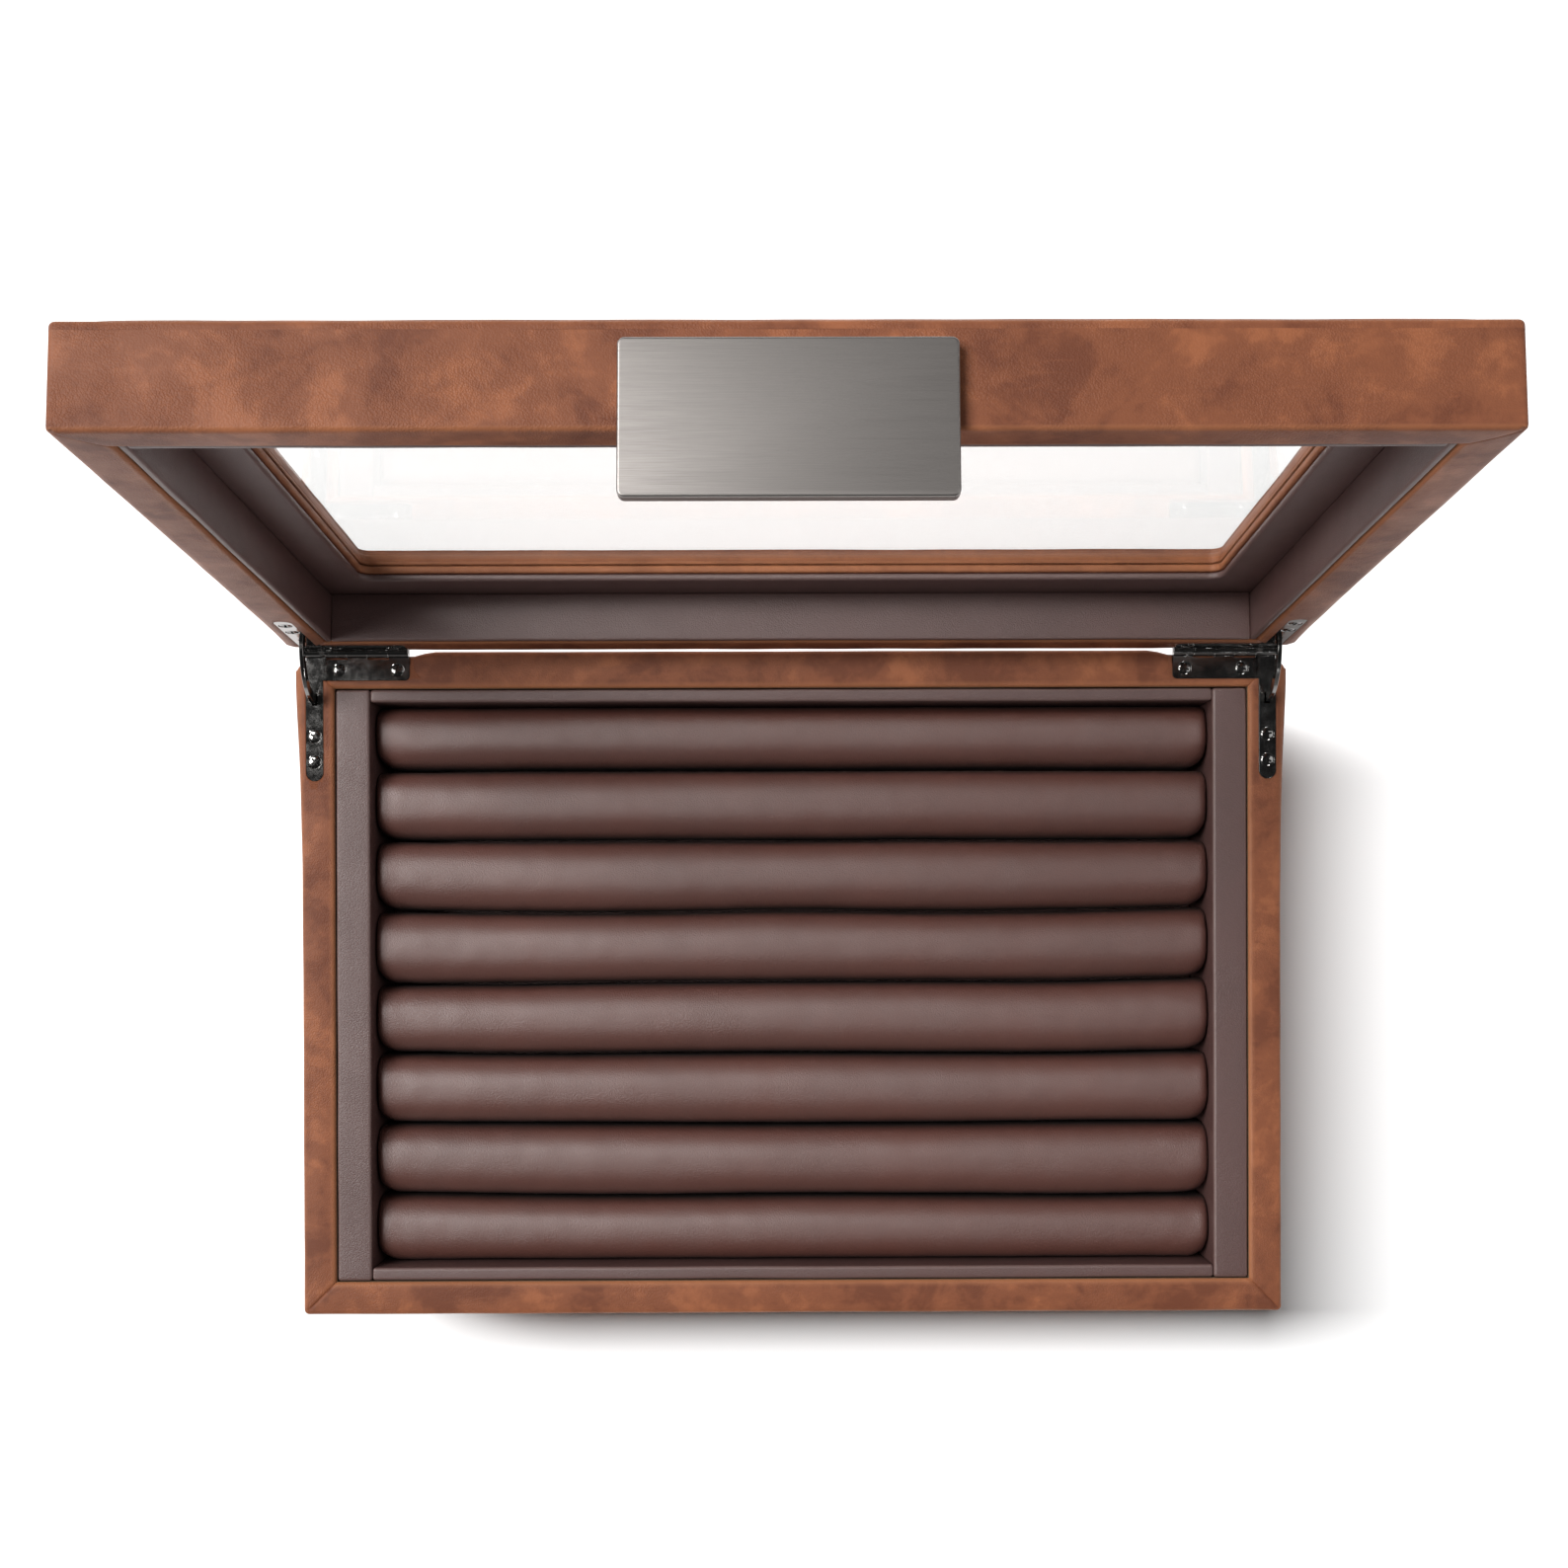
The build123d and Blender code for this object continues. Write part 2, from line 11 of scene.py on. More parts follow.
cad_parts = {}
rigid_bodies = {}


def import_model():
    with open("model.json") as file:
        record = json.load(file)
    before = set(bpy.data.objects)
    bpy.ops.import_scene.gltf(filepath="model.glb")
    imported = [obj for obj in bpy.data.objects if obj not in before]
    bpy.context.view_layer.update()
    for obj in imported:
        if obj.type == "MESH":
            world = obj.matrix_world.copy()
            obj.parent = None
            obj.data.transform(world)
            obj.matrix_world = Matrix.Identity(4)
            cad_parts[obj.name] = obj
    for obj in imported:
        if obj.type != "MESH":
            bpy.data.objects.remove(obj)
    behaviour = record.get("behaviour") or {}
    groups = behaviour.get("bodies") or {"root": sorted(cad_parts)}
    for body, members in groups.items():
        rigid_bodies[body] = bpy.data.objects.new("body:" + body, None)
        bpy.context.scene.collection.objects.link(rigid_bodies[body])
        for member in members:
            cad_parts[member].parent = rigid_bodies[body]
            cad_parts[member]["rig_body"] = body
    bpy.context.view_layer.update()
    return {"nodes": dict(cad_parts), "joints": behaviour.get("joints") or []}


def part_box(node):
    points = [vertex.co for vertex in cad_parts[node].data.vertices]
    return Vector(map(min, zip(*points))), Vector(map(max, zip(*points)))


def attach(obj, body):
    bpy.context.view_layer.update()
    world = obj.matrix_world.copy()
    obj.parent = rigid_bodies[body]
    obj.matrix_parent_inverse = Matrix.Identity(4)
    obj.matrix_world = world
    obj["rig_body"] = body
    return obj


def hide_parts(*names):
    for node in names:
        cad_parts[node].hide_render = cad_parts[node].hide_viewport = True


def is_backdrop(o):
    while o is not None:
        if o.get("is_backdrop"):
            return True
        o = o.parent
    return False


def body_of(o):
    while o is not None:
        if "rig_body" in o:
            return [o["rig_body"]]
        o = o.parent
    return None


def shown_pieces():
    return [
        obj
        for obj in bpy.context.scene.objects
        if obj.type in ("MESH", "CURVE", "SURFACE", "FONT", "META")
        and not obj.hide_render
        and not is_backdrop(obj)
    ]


bl_info = {
    "name": "Cufflink box with drawer",
    "version": (1, 0, 0),
    "blender": (4, 5, 0),
    "location": "3D View > Sidebar > Cufflink box",
    "description": "Leather, linings, rolls, hinges and drawer of a cufflink box with a glazed lid",
    "category": "Object",
}

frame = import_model()

# ---- the frame's own sizes, in millimetres
MM = 0.001
_, _case_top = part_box("base_leather_left")
HALF_X = -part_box("base_leather_left")[0].x / MM
HALF_Y = -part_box("base_leather_front")[0].y / MM
RIM_Z = _case_top.z / MM
FOOT_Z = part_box("base_leather_left")[0].z / MM
LID = next(j for j in frame["joints"] if j["name"] == "lid_hinge")
AXIS_Y, AXIS_Z = LID["pos_m"][1] / MM, LID["pos_m"][2] / MM
LID_OPEN = math.radians(LID["range_deg"][1])
LID_GAP = 2 * (AXIS_Z - RIM_Z)

RIM_WIDTH = 9.6
TRAY_X, TRAY_Y = 125.0, 83.9
INNER_X, INNER_Y = 135.4, 87.9
SEAM = 0.3
BACK_CORNER, FRONT_CORNER = 4.0, 1.5
SKIN = 1.0
LID_SIDE = 20.6
WINDOW_X, WINDOW_Y, WINDOW_CORNER = 121.0, 70.5, 3.0
LEAF_X, LEAF_Y, LEAF_LONG = 143.6, 96.4, 30.6
BACK_ARM, SIDE_ARM, SIDE_ARM_LONG, LEAF_PLAY = 6.1, 5.0, 35.8, 0.15
STAY_X = LEAF_X - SIDE_ARM / 2
SIDES = {"left": -1, "right": 1}
QUARTERS = ("front", "right", "back", "left")


# ---------------------------------------------------------------- settings


class BoxSizes(PropertyGroup):
    """Sizes of the soft and finished surfaces"""

    rim_round: FloatProperty(name="Rim rounding", description="Radius of the rim's outer edge", default=0.0013, unit="LENGTH")
    rim_inner_round: FloatProperty(name="Inner rim rounding", description="Radius of the rim's inner edge", default=0.0012, unit="LENGTH")
    side_bulge: FloatProperty(name="Side bulge", description="How far the side leather swells beside the hinges", default=0.0019, unit="LENGTH")
    lid_side_swell: FloatProperty(name="Lid side swell", description="How far the lid's side leather swells beside the hinges", default=0.0034, unit="LENGTH")
    lid_front_swell: FloatProperty(name="Lid front swell", description="How far the lid's side leather swells at its front", default=0.0011, unit="LENGTH")
    back_swell: FloatProperty(name="Back swell", description="How far the back leather swells between the hinges", default=0.0013, unit="LENGTH")
    leather_wave: FloatProperty(name="Leather wave", description="Unevenness of the stretched leather", default=0.00009, unit="LENGTH")
    lining_round: FloatProperty(name="Lining rounding", description="Edge radius of the lining boards", default=0.0009, unit="LENGTH")
    roll_swell: FloatProperty(name="Roll swell", description="How far a roll's top rises and falls along it", default=0.00025, unit="LENGTH")
    roll_count: IntProperty(name="Rolls", description="Number of cufflink rolls in the tray", default=8, min=2, max=12)
    top_crown: FloatProperty(name="Lid crown", description="Rise of the lid's padded border above its edge", default=0.0017, unit="LENGTH")
    metal_edge: FloatProperty(name="Metal edge", description="Bevel on the hinge parts", default=0.00016, unit="LENGTH")
    screw_dome: FloatProperty(name="Screw dome", description="Height of a screw head's dome", default=0.00014, unit="LENGTH")


class BoxColours(PropertyGroup):
    """Colours of the finishes"""

    tan_dark: FloatVectorProperty(name="Tan, dark", description="Dark clouds of the outer leather", subtype="COLOR", size=3, default=(0.176, 0.056, 0.028))
    tan_mid: FloatVectorProperty(name="Tan", description="Main colour of the outer leather", subtype="COLOR", size=3, default=(0.262, 0.089, 0.042))
    tan_light: FloatVectorProperty(name="Tan, light", description="Warm light clouds of the outer leather", subtype="COLOR", size=3, default=(0.372, 0.130, 0.058))
    # Lighter colour of the rounded edges: partly rubbed wear, partly a painted highlight where the edges catch the
    # light.
    tan_rubbed_and_highlight: FloatVectorProperty(name="Tan, rubbed", description="Rubbed edges of the outer leather", subtype="COLOR", size=3, default=(0.490, 0.200, 0.092))
    lining: FloatVectorProperty(name="Lining", description="Smooth lining leather", subtype="COLOR", size=3, default=(0.122, 0.055, 0.049))
    # Lighter, greyer colour of the lining's edges: partly stretched leather, partly a painted highlight where the edges
    # catch the light.
    lining_edge_and_highlight: FloatVectorProperty(name="Lining edge", description="Stretched edges of the lining leather", subtype="COLOR", size=3, default=(0.190, 0.120, 0.110))
    roll: FloatVectorProperty(name="Rolls", description="Soft leather of the rolls", subtype="COLOR", size=3, default=(0.136, 0.044, 0.031))
    suede: FloatVectorProperty(name="Suede", description="Suede of the drawer and the foot", subtype="COLOR", size=3, default=(0.060, 0.036, 0.030))
    gunmetal: FloatVectorProperty(name="Gunmetal", description="Brushed lifting plate and drawer pull", subtype="COLOR", size=3, default=(0.345, 0.322, 0.309))
    nickel: FloatVectorProperty(name="Black nickel", description="Hinges, stays and screws", subtype="COLOR", size=3, default=(0.210, 0.205, 0.200))
    board: FloatVectorProperty(name="Board", description="Wood-fibre boards", subtype="COLOR", size=3, default=(0.210, 0.140, 0.088))


# ---------------------------------------------------------------- where things are


def base_place(x, y, w):
    """A point of the base from its depth below the rim."""
    return Vector((x, y, RIM_Z - w)) * MM


def lid_place(x, y, u):
    """A point of the open lid from its place in the shut lid and its height above the lid's rim."""
    along, up = y - AXIS_Y, u + LID_GAP / 2
    c, s = math.cos(-LID_OPEN), math.sin(-LID_OPEN)
    return Vector((x, AXIS_Y + along * c - up * s, AXIS_Z + along * s + up * c)) * MM


def world_place(x, y, z):
    """A point given from the resting face."""
    return Vector((x, y, z)) * MM


# ---------------------------------------------------------------- meshes


def finish_piece(name, points, faces, material, body, stands_for=(), sharp=38.0, masks=None):
    """Makes one closed piece, faces outwards, lets it ride on its body and stand for its CAD nodes."""
    mesh = bpy.data.meshes.new(name)
    mesh.from_pydata([tuple(p) for p in points], [], faces)
    for label, values in (masks or {}).items():
        layer = mesh.attributes.new(label, "FLOAT", "POINT")
        layer.data.foreach_set("value", values)
    shell = bmesh.new()
    shell.from_mesh(mesh)
    bmesh.ops.remove_doubles(shell, verts=shell.verts, dist=1e-7)
    bmesh.ops.dissolve_degenerate(shell, edges=shell.edges, dist=1e-7)
    bmesh.ops.recalc_face_normals(shell, faces=shell.faces)
    shell.to_mesh(mesh)
    shell.free()
    piece = bpy.data.objects.new(name, mesh)
    bpy.context.scene.collection.objects.link(piece)
    return dress(piece, material, body, stands_for, sharp)


def dress(piece, material, body, stands_for=(), sharp=38.0):
    """Gives a mesh its finish, its body and the nodes that it stands for."""
    mesh = piece.data
    mesh.materials.clear()
    mesh.materials.append(material)
    mesh.polygons.foreach_set("material_index", [0] * len(mesh.polygons))
    if sharp is not None:
        mesh.polygons.foreach_set("use_smooth", [True] * len(mesh.polygons))
        mesh.set_sharp_from_angle(angle=math.radians(sharp))
    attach(piece, body)
    if stands_for:
        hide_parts(*stands_for)
    return piece


def corner(centre_x, centre_y, radius, start, steps):
    """Points of one quarter turn."""
    return [
        (centre_x + radius * math.cos(start + math.pi / 2 * i / (steps - 1)), centre_y + radius * math.sin(start + math.pi / 2 * i / (steps - 1)))
        for i in range(steps)
    ]


CORNER_STEPS = 9
NEAR_CORNER = (0.3, 0.7, 1.4)


def side_stops(length, spans):
    """Shares of a side where its columns stand, close together beside the corners."""
    near = [d / length for d in NEAR_CORNER]
    last, inner = near[-1], spans - 2 * len(near)
    middle = [last + (1 - 2 * last) * k / inner for k in range(1, inner)]
    return near + middle + [1 - t for t in reversed(near)]


def outline(half_x, half_y, front, back, spans=(90, 60)):
    """A rounded rectangle from above, starting at its front left corner and running to the right."""
    front, back = max(front, 0.02), max(back, 0.02)
    turns = [
        corner(front - half_x, front - half_y, front, math.pi, CORNER_STEPS),
        corner(half_x - front, front - half_y, front, 1.5 * math.pi, CORNER_STEPS),
        corner(half_x - back, half_y - back, back, 0, CORNER_STEPS),
        corner(back - half_x, half_y - back, back, 0.5 * math.pi, CORNER_STEPS),
    ]
    points = []
    for i, turn in enumerate(turns):
        points += turn
        (x0, y0), (x1, y1) = turn[-1], turns[(i + 1) % 4][0]
        n = spans[i % 2]
        length = math.hypot(x1 - x0, y1 - y0)
        points += [(x0 + (x1 - x0) * t, y0 + (y1 - y0) * t) for t in side_stops(length, n)]
    return points


def wall_outline(inset, spans=(90, 60)):
    """The box's outline, inset from its outer faces."""
    return outline(HALF_X - inset, HALF_Y - inset, FRONT_CORNER - inset, BACK_CORNER - inset, spans)


def window_outline(outset, spans=(90, 60)):
    """The window's outline, outset into its frame."""
    r = WINDOW_CORNER + outset
    return outline(WINDOW_X + outset, WINDOW_Y + outset, r, r, spans)


def quarter_columns(quarter, spans=(90, 60)):
    """The columns of an outline that one mitred side takes, from the middle of one corner to the next."""
    nx, ny = spans
    total = 4 * CORNER_STEPS + 2 * (nx - 1) + 2 * (ny - 1)
    half = CORNER_STEPS // 2
    starts = {
        "front": half,
        "right": CORNER_STEPS + nx - 1 + half,
        "back": 2 * CORNER_STEPS + nx + ny - 2 + half,
        "left": 3 * CORNER_STEPS + 2 * nx + ny - 3 + half,
    }
    length = CORNER_STEPS + (nx if quarter in ("front", "back") else ny)
    return [(starts[quarter] + k) % total for k in range(length)]


def ring(loops):
    """Points and faces of a closed ring, from loops that run round its section."""
    n, k = len(loops[0]), len(loops)
    faces = [(i * n + j, i * n + (j + 1) % n, (i + 1) % k * n + (j + 1) % n, (i + 1) % k * n + j) for i in range(k) for j in range(n)]
    return [p for loop in loops for p in loop], faces


def strip(loops):
    """Points and faces of a ring's part with both ends closed."""
    n, k = len(loops[0]), len(loops)
    faces = [(i * n + j, i * n + j + 1, (i + 1) % k * n + j + 1, (i + 1) % k * n + j) for i in range(k) for j in range(n - 1)]
    faces += [tuple(i * n for i in range(k)), tuple(i * n + n - 1 for i in reversed(range(k)))]
    return [p for loop in loops for p in loop], faces


def quarter_turn(steps):
    """Sine and cosine pairs over a quarter turn, ends included."""
    return [(math.sin(math.pi / 2 * i / steps), math.cos(math.pi / 2 * i / steps)) for i in range(steps + 1)]


def axis_stops(low, high, radius, spans, steps):
    """Where a rounded block's grid lines lie along one axis."""
    turn = [radius * math.tan(math.pi / 4 * i / steps) for i in range(steps, -1, -1)]
    first, last = low + radius, high - radius
    return [first - t for t in turn] + [first + (last - first) * k / spans for k in range(1, spans)] + [last + t for t in reversed(turn)]


def block(low, high, radius, spans=(1, 1, 1), steps=4):
    """Points, faces and edge mask of a block with rounded edges, in its own frame."""
    radius = min(radius, 0.499 * min(h - l for l, h in zip(low, high)))
    stops = [axis_stops(l, h, radius, s, steps) for l, h, s in zip(low, high, spans)]
    points, faces, edge, found = [], [], [], {}

    def point(index):
        if index not in found:
            p = Vector(stops[a][index[a]] for a in range(3))
            core = Vector(min(max(p[a], low[a] + radius), high[a] - radius) for a in range(3))
            out = p - core
            found[index] = len(points)
            points.append(core + out.normalized() * radius)
            parts = sorted(abs(v) for v in out.normalized())
            # Edge mask, used to lighten rounded edges: rubbed wear and a painted highlight.
            edge.append(min(1.0, 2.0 * parts[1]))
        return found[index]

    for a in range(3):
        b, c = (a + 1) % 3, (a + 2) % 3
        for end in (0, len(stops[a]) - 1):
            for i in range(len(stops[b]) - 1):
                for j in range(len(stops[c]) - 1):
                    quad = []
                    for di, dj in ((0, 0), (1, 0), (1, 1), (0, 1)):
                        index = [0, 0, 0]
                        index[a], index[b], index[c] = end, i + di, j + dj
                        quad.append(point(tuple(index)))
                    faces.append(tuple(quad if end else reversed(quad)))
    return points, faces, edge


def uneven(p, amount, size, seed):
    """A point moved by a slow, soft noise."""
    q = Vector(p) / size + Vector((seed * 3.1, seed * 1.7, seed * 5.3))
    return Vector(p) + noise.noise_vector(q) * amount


def soft_block(name, low, high, radius, place, material, body, stands_for=(), spans=(1, 1, 1), wave=0.0, seed=0, cut=0.0):
    """A rounded, slightly uneven block as a finished piece."""
    points, faces, edge = block(low, high, radius, spans)
    if wave:
        points = [uneven(p, wave, 22.0, seed) for p in points]
    # The edge mask lightens the block's rounded edges: rubbed wear and a painted highlight.
    masks = {"rub_and_highlight": edge, "cut": [cut] * len(points)}
    return finish_piece(name, [place(*p) for p in points], faces, material, body, stands_for, masks=masks)


def refine(node, name, material, body, bevel=0.0, sharp=32.0):
    """A merged copy of a CAD node with its edges broken, which stands for the node."""
    mesh = frame["nodes"][node].data.copy()
    mesh.name = name
    shell = bmesh.new()
    shell.from_mesh(mesh)
    bmesh.ops.remove_doubles(shell, verts=shell.verts, dist=2e-6)
    bmesh.ops.dissolve_limit(shell, angle_limit=math.radians(1.0), verts=shell.verts, edges=shell.edges)
    shell.to_mesh(mesh)
    shell.free()
    piece = bpy.data.objects.new(name, mesh)
    bpy.context.scene.collection.objects.link(piece)
    mesh.polygons.foreach_set("use_smooth", [True] * len(mesh.polygons))
    mesh.set_sharp_from_angle(angle=math.radians(sharp))
    if bevel:
        rounding = piece.modifiers.new("broken_edges", "BEVEL")
        rounding.width = bevel
        rounding.segments = 2
        rounding.limit_method = "ANGLE"
        rounding.angle_limit = math.radians(35)
        evening = piece.modifiers.new("even_normals", "WEIGHTED_NORMAL")
        evening.weight = 100
        evening.keep_sharp = True
        made = bpy.data.meshes.new_from_object(piece.evaluated_get(bpy.context.evaluated_depsgraph_get()))
        piece.modifiers.clear()
        piece.data = made
        sharp = None
    return dress(piece, material, body, (node,), sharp)


def volume(mesh):
    """The volume that a closed mesh holds."""
    shell = bmesh.new()
    shell.from_mesh(mesh)
    held = shell.calc_volume(signed=True)
    shell.free()
    return held


def carve(piece, cutters):
    """Cuts closed shapes out of a mesh object, for good."""
    before = volume(piece.data)
    for cutter in cutters:
        cut = piece.modifiers.new("cut", "BOOLEAN")
        cut.operation, cut.solver, cut.object = "DIFFERENCE", "MANIFOLD", cutter
    made = bpy.data.meshes.new_from_object(piece.evaluated_get(bpy.context.evaluated_depsgraph_get()))
    piece.modifiers.clear()
    piece.data = made
    if not 0.5 * before < volume(made) < before:
        raise RuntimeError(f"{piece.name}: the cuts failed")
    made.set_sharp_from_angle(angle=math.radians(38))
    for cutter in cutters:
        shape = cutter.data
        bpy.data.objects.remove(cutter)
        bpy.data.meshes.remove(shape)


def prism(name, polygon, top, bottom, place):
    """A closed prism between two depths, used for cutting."""
    n = len(polygon)
    points = [place(x, y, top) for x, y in polygon] + [place(x, y, bottom) for x, y in polygon]
    faces = [tuple(range(n)), tuple(reversed(range(n, 2 * n)))] + [(i, i + n, (i + 1) % n + n, (i + 1) % n) for i in range(n)]
    mesh = bpy.data.meshes.new(name)
    mesh.from_pydata([tuple(p) for p in points], [], faces)
    shell = bmesh.new()
    shell.from_mesh(mesh)
    bmesh.ops.recalc_face_normals(shell, faces=shell.faces)
    shell.to_mesh(mesh)
    shell.free()
    cutter = bpy.data.objects.new(name, mesh)
    bpy.context.scene.collection.objects.link(cutter)
    return cutter


def rounded_rectangle(x0, x1, y0, y1, radius, steps=6):
    """A rounded rectangle as a plain polygon."""
    cx, cy, hx, hy = (x0 + x1) / 2, (y0 + y1) / 2, abs(x1 - x0) / 2, abs(y1 - y0) / 2
    radius = min(radius, hx * 0.999, hy * 0.999)
    points = []
    for sx, sy, start in ((-1, -1, math.pi), (1, -1, 1.5 * math.pi), (1, 1, 0), (-1, 1, 0.5 * math.pi)):
        points += [(cx + x, cy + y) for x, y in corner(sx * (hx - radius), sy * (hy - radius), radius, start, steps)]
    return points


def hinge_cutters(side, place):
    """The room that one hinge leaf, its barrel and its stay take out of a leather rim."""
    s = SIDES[side]
    play = LEAF_PLAY
    arm = rounded_rectangle(s * (LEAF_X - LEAF_LONG - play), s * (LEAF_X + play), LEAF_Y - BACK_ARM - play, LEAF_Y + play, 1.5)
    slot = rounded_rectangle(
        s * (STAY_X - SIDE_ARM / 2 - play), s * (STAY_X + SIDE_ARM / 2 + play - 0.04), LEAF_Y - SIDE_ARM_LONG - play, LEAF_Y - 1.8, 3.0, 9
    )
    notch = [(s * x, y) for x, y in ((LEAF_X - LEAF_LONG - 0.3, LEAF_Y - 1.5), (LEAF_X + 0.3, LEAF_Y - 1.5), (LEAF_X + 0.3, AXIS_Y + 2.0), (LEAF_X - LEAF_LONG - 0.3, AXIS_Y + 2.0))]
    return [
        prism("cutter_arm", arm, -3.0, 1.25, place),
        prism("cutter_slot", slot, -3.1, 1.26, place),
        prism("cutter_notch", notch, -3.2, 1.8, place),
    ]


# ---------------------------------------------------------------- materials


class Wiring:
    """Short calls for building a node tree."""

    def __init__(self, tree):
        self.tree = tree

    def add(self, kind, settings=None, **inputs):
        """A node with its settings, and its inputs set or linked by name or number."""
        made = self.tree.nodes.new(kind)
        for key, value in (settings or {}).items():
            setattr(made, key, value)
        for key, value in inputs.items():
            at = int(key[1:]) if key[0] == "i" and key[1:].isdigit() else key.replace("_", " ")
            if isinstance(value, bpy.types.NodeSocket):
                self.tree.links.new(value, made.inputs[at])
            else:
                made.inputs[at].default_value = value
        return made

    def math(self, operation, a, b=0.0, clamp=False):
        return self.add("ShaderNodeMath", {"operation": operation, "use_clamp": clamp}, i0=a, i1=b).outputs[0]

    def remap(self, value, low, high, to_low=0.0, to_high=1.0):
        made = self.add("ShaderNodeMapRange", {"clamp": True, "interpolation_type": "SMOOTHSTEP"}, Value=value)
        for key, number in (("From Min", low), ("From Max", high), ("To Min", to_low), ("To Max", to_high)):
            made.inputs[key].default_value = number
        return made.outputs["Result"]

    def noise(self, vector, scale, detail=3.0, roughness=0.5, distortion=0.0):
        made = self.add("ShaderNodeTexNoise", {"noise_dimensions": "3D"}, Vector=vector, Scale=scale, Detail=detail, Roughness=roughness, Distortion=distortion)
        return made.outputs["Fac"]

    def mix(self, factor, a, b):
        made = self.add("ShaderNodeMix", {"data_type": "RGBA"})
        for at, value in ((0, factor), (6, a), (7, b)):
            if isinstance(value, bpy.types.NodeSocket):
                self.tree.links.new(value, made.inputs[at])
            else:
                made.inputs[at].default_value = value if at == 0 else (*value[:3], 1.0)
        return made.outputs[2]

    def stretch(self, vector, scale, turn=(0, 0, 0)):
        made = self.add("ShaderNodeMapping", {"vector_type": "POINT"}, Vector=vector)
        made.inputs["Scale"].default_value = scale
        made.inputs["Rotation"].default_value = turn
        return made.outputs["Vector"]


def new_group(name, inputs, outputs):
    """An empty shader node group with named sockets. Inputs are (name, kind, default)."""
    tree = bpy.data.node_groups.new(name, "ShaderNodeTree")
    for label, kind, value in inputs:
        socket = tree.interface.new_socket(label, in_out="INPUT", socket_type=kind)
        if value is not None:
            socket.default_value = value
    for label, kind in outputs:
        tree.interface.new_socket(label, in_out="OUTPUT", socket_type=kind)
    wires = Wiring(tree)
    return tree, wires, wires.add("NodeGroupInput"), wires.add("NodeGroupOutput")


def piece_coordinates_group():
    """Object coordinates shifted by each piece's own cut number, so that patterns don't run on over a seam."""
    tree, w, _, out = new_group("Piece coordinates", [], [("Vector", "NodeSocketVector")])
    place = w.add("ShaderNodeTexCoord").outputs["Object"]
    cut = w.add("ShaderNodeAttribute", {"attribute_name": "cut", "attribute_type": "GEOMETRY"}).outputs["Fac"]
    shift = w.add("ShaderNodeCombineXYZ", X=w.math("MULTIPLY", cut, 0.37), Y=w.math("MULTIPLY", cut, 0.91), Z=w.math("MULTIPLY", cut, 0.53)).outputs[0]
    moved = w.add("ShaderNodeVectorMath", {"operation": "ADD"}, i0=place, i1=shift).outputs[0]
    w.tree.links.new(moved, out.inputs["Vector"])
    return tree


def clouds_group():
    """Soft clouds and faint streaks of a hand-rubbed finish."""
    tree, w, given, out = new_group(
        "Rubbed clouds",
        [("Vector", "NodeSocketVector", None), ("Cloud scale", "NodeSocketFloat", 60.0), ("Contrast", "NodeSocketFloat", 1.0)],
        [("Clouds", "NodeSocketFloat"), ("Streaks", "NodeSocketFloat")],
    )
    v, scale = given.outputs["Vector"], given.outputs["Cloud scale"]
    wide = w.noise(v, scale, 4.0, 0.55, 0.6)
    fine = w.noise(v, w.math("MULTIPLY", scale, 4.2), 4.0, 0.6, 0.3)
    both = w.math("ADD", w.math("MULTIPLY", wide, 0.72), w.math("MULTIPLY", fine, 0.28))
    spread = w.math("MULTIPLY", w.math("SUBTRACT", both, 0.5), given.outputs["Contrast"])
    w.tree.links.new(w.math("ADD", w.math("MULTIPLY", spread, 3.2), 0.5, True), out.inputs["Clouds"])
    lines = w.noise(w.stretch(v, (0.35, 2.2, 1.0), (0.2, 0.1, 0.9)), w.math("MULTIPLY", scale, 5.0), 3.0, 0.6, 0.8)
    w.tree.links.new(w.remap(lines, 0.55, 0.75), out.inputs["Streaks"])
    return tree


def grain_group():
    """Pebbled leather grain, its pores and its slow creases, as a height and a pore mask."""
    tree, w, given, out = new_group(
        "Leather grain",
        [("Vector", "NodeSocketVector", None), ("Pebbles", "NodeSocketFloat", 1500.0), ("Patchiness", "NodeSocketFloat", 0.5), ("Creases", "NodeSocketFloat", 0.3)],
        [("Height", "NodeSocketFloat"), ("Pores", "NodeSocketFloat")],
    )
    v, scale = given.outputs["Vector"], given.outputs["Pebbles"]
    wobble = w.add("ShaderNodeTexNoise", {"noise_dimensions": "3D"}, Vector=v, Scale=w.math("MULTIPLY", scale, 0.6), Detail=1.0).outputs["Color"]
    bent = w.add("ShaderNodeVectorMath", {"operation": "MULTIPLY_ADD"}, i0=wobble, i1=(0.0003, 0.0003, 0.0003), i2=v).outputs[0]
    cells = w.add("ShaderNodeTexVoronoi", {"feature": "F1", "voronoi_dimensions": "3D"}, Vector=bent, Scale=scale).outputs["Distance"]
    pebble = w.remap(cells, 0.10, 0.85, 1.0, 0.0)
    patch = w.remap(w.noise(v, 42.0, 2.0, 0.5), 0.40, 0.62)
    level = w.math("ADD", w.math("MULTIPLY", w.math("SUBTRACT", patch, 1.0), given.outputs["Patchiness"]), 1.0)
    crease = w.noise(w.stretch(v, (0.6, 1.6, 1.0), (0, 0, 0.5)), 260.0, 4.0, 0.6, 1.4)
    fold = w.math("MULTIPLY", w.remap(w.math("ABSOLUTE", w.math("SUBTRACT", crease, 0.5)), 0.0, 0.05, -1.0, 0.0), given.outputs["Creases"])
    height = w.math("ADD", w.math("MULTIPLY", pebble, level), fold)
    w.tree.links.new(height, out.inputs["Height"])
    w.tree.links.new(w.math("MULTIPLY", w.math("SUBTRACT", 1.0, pebble), level), out.inputs["Pores"])
    return tree


def group_node(w, tree, **inputs):
    made = w.add("ShaderNodeGroup")
    made.node_tree = tree
    for key, value in inputs.items():
        at = key.replace("_", " ")
        if isinstance(value, bpy.types.NodeSocket):
            w.tree.links.new(value, made.inputs[at])
        else:
            made.inputs[at].default_value = value
    return made


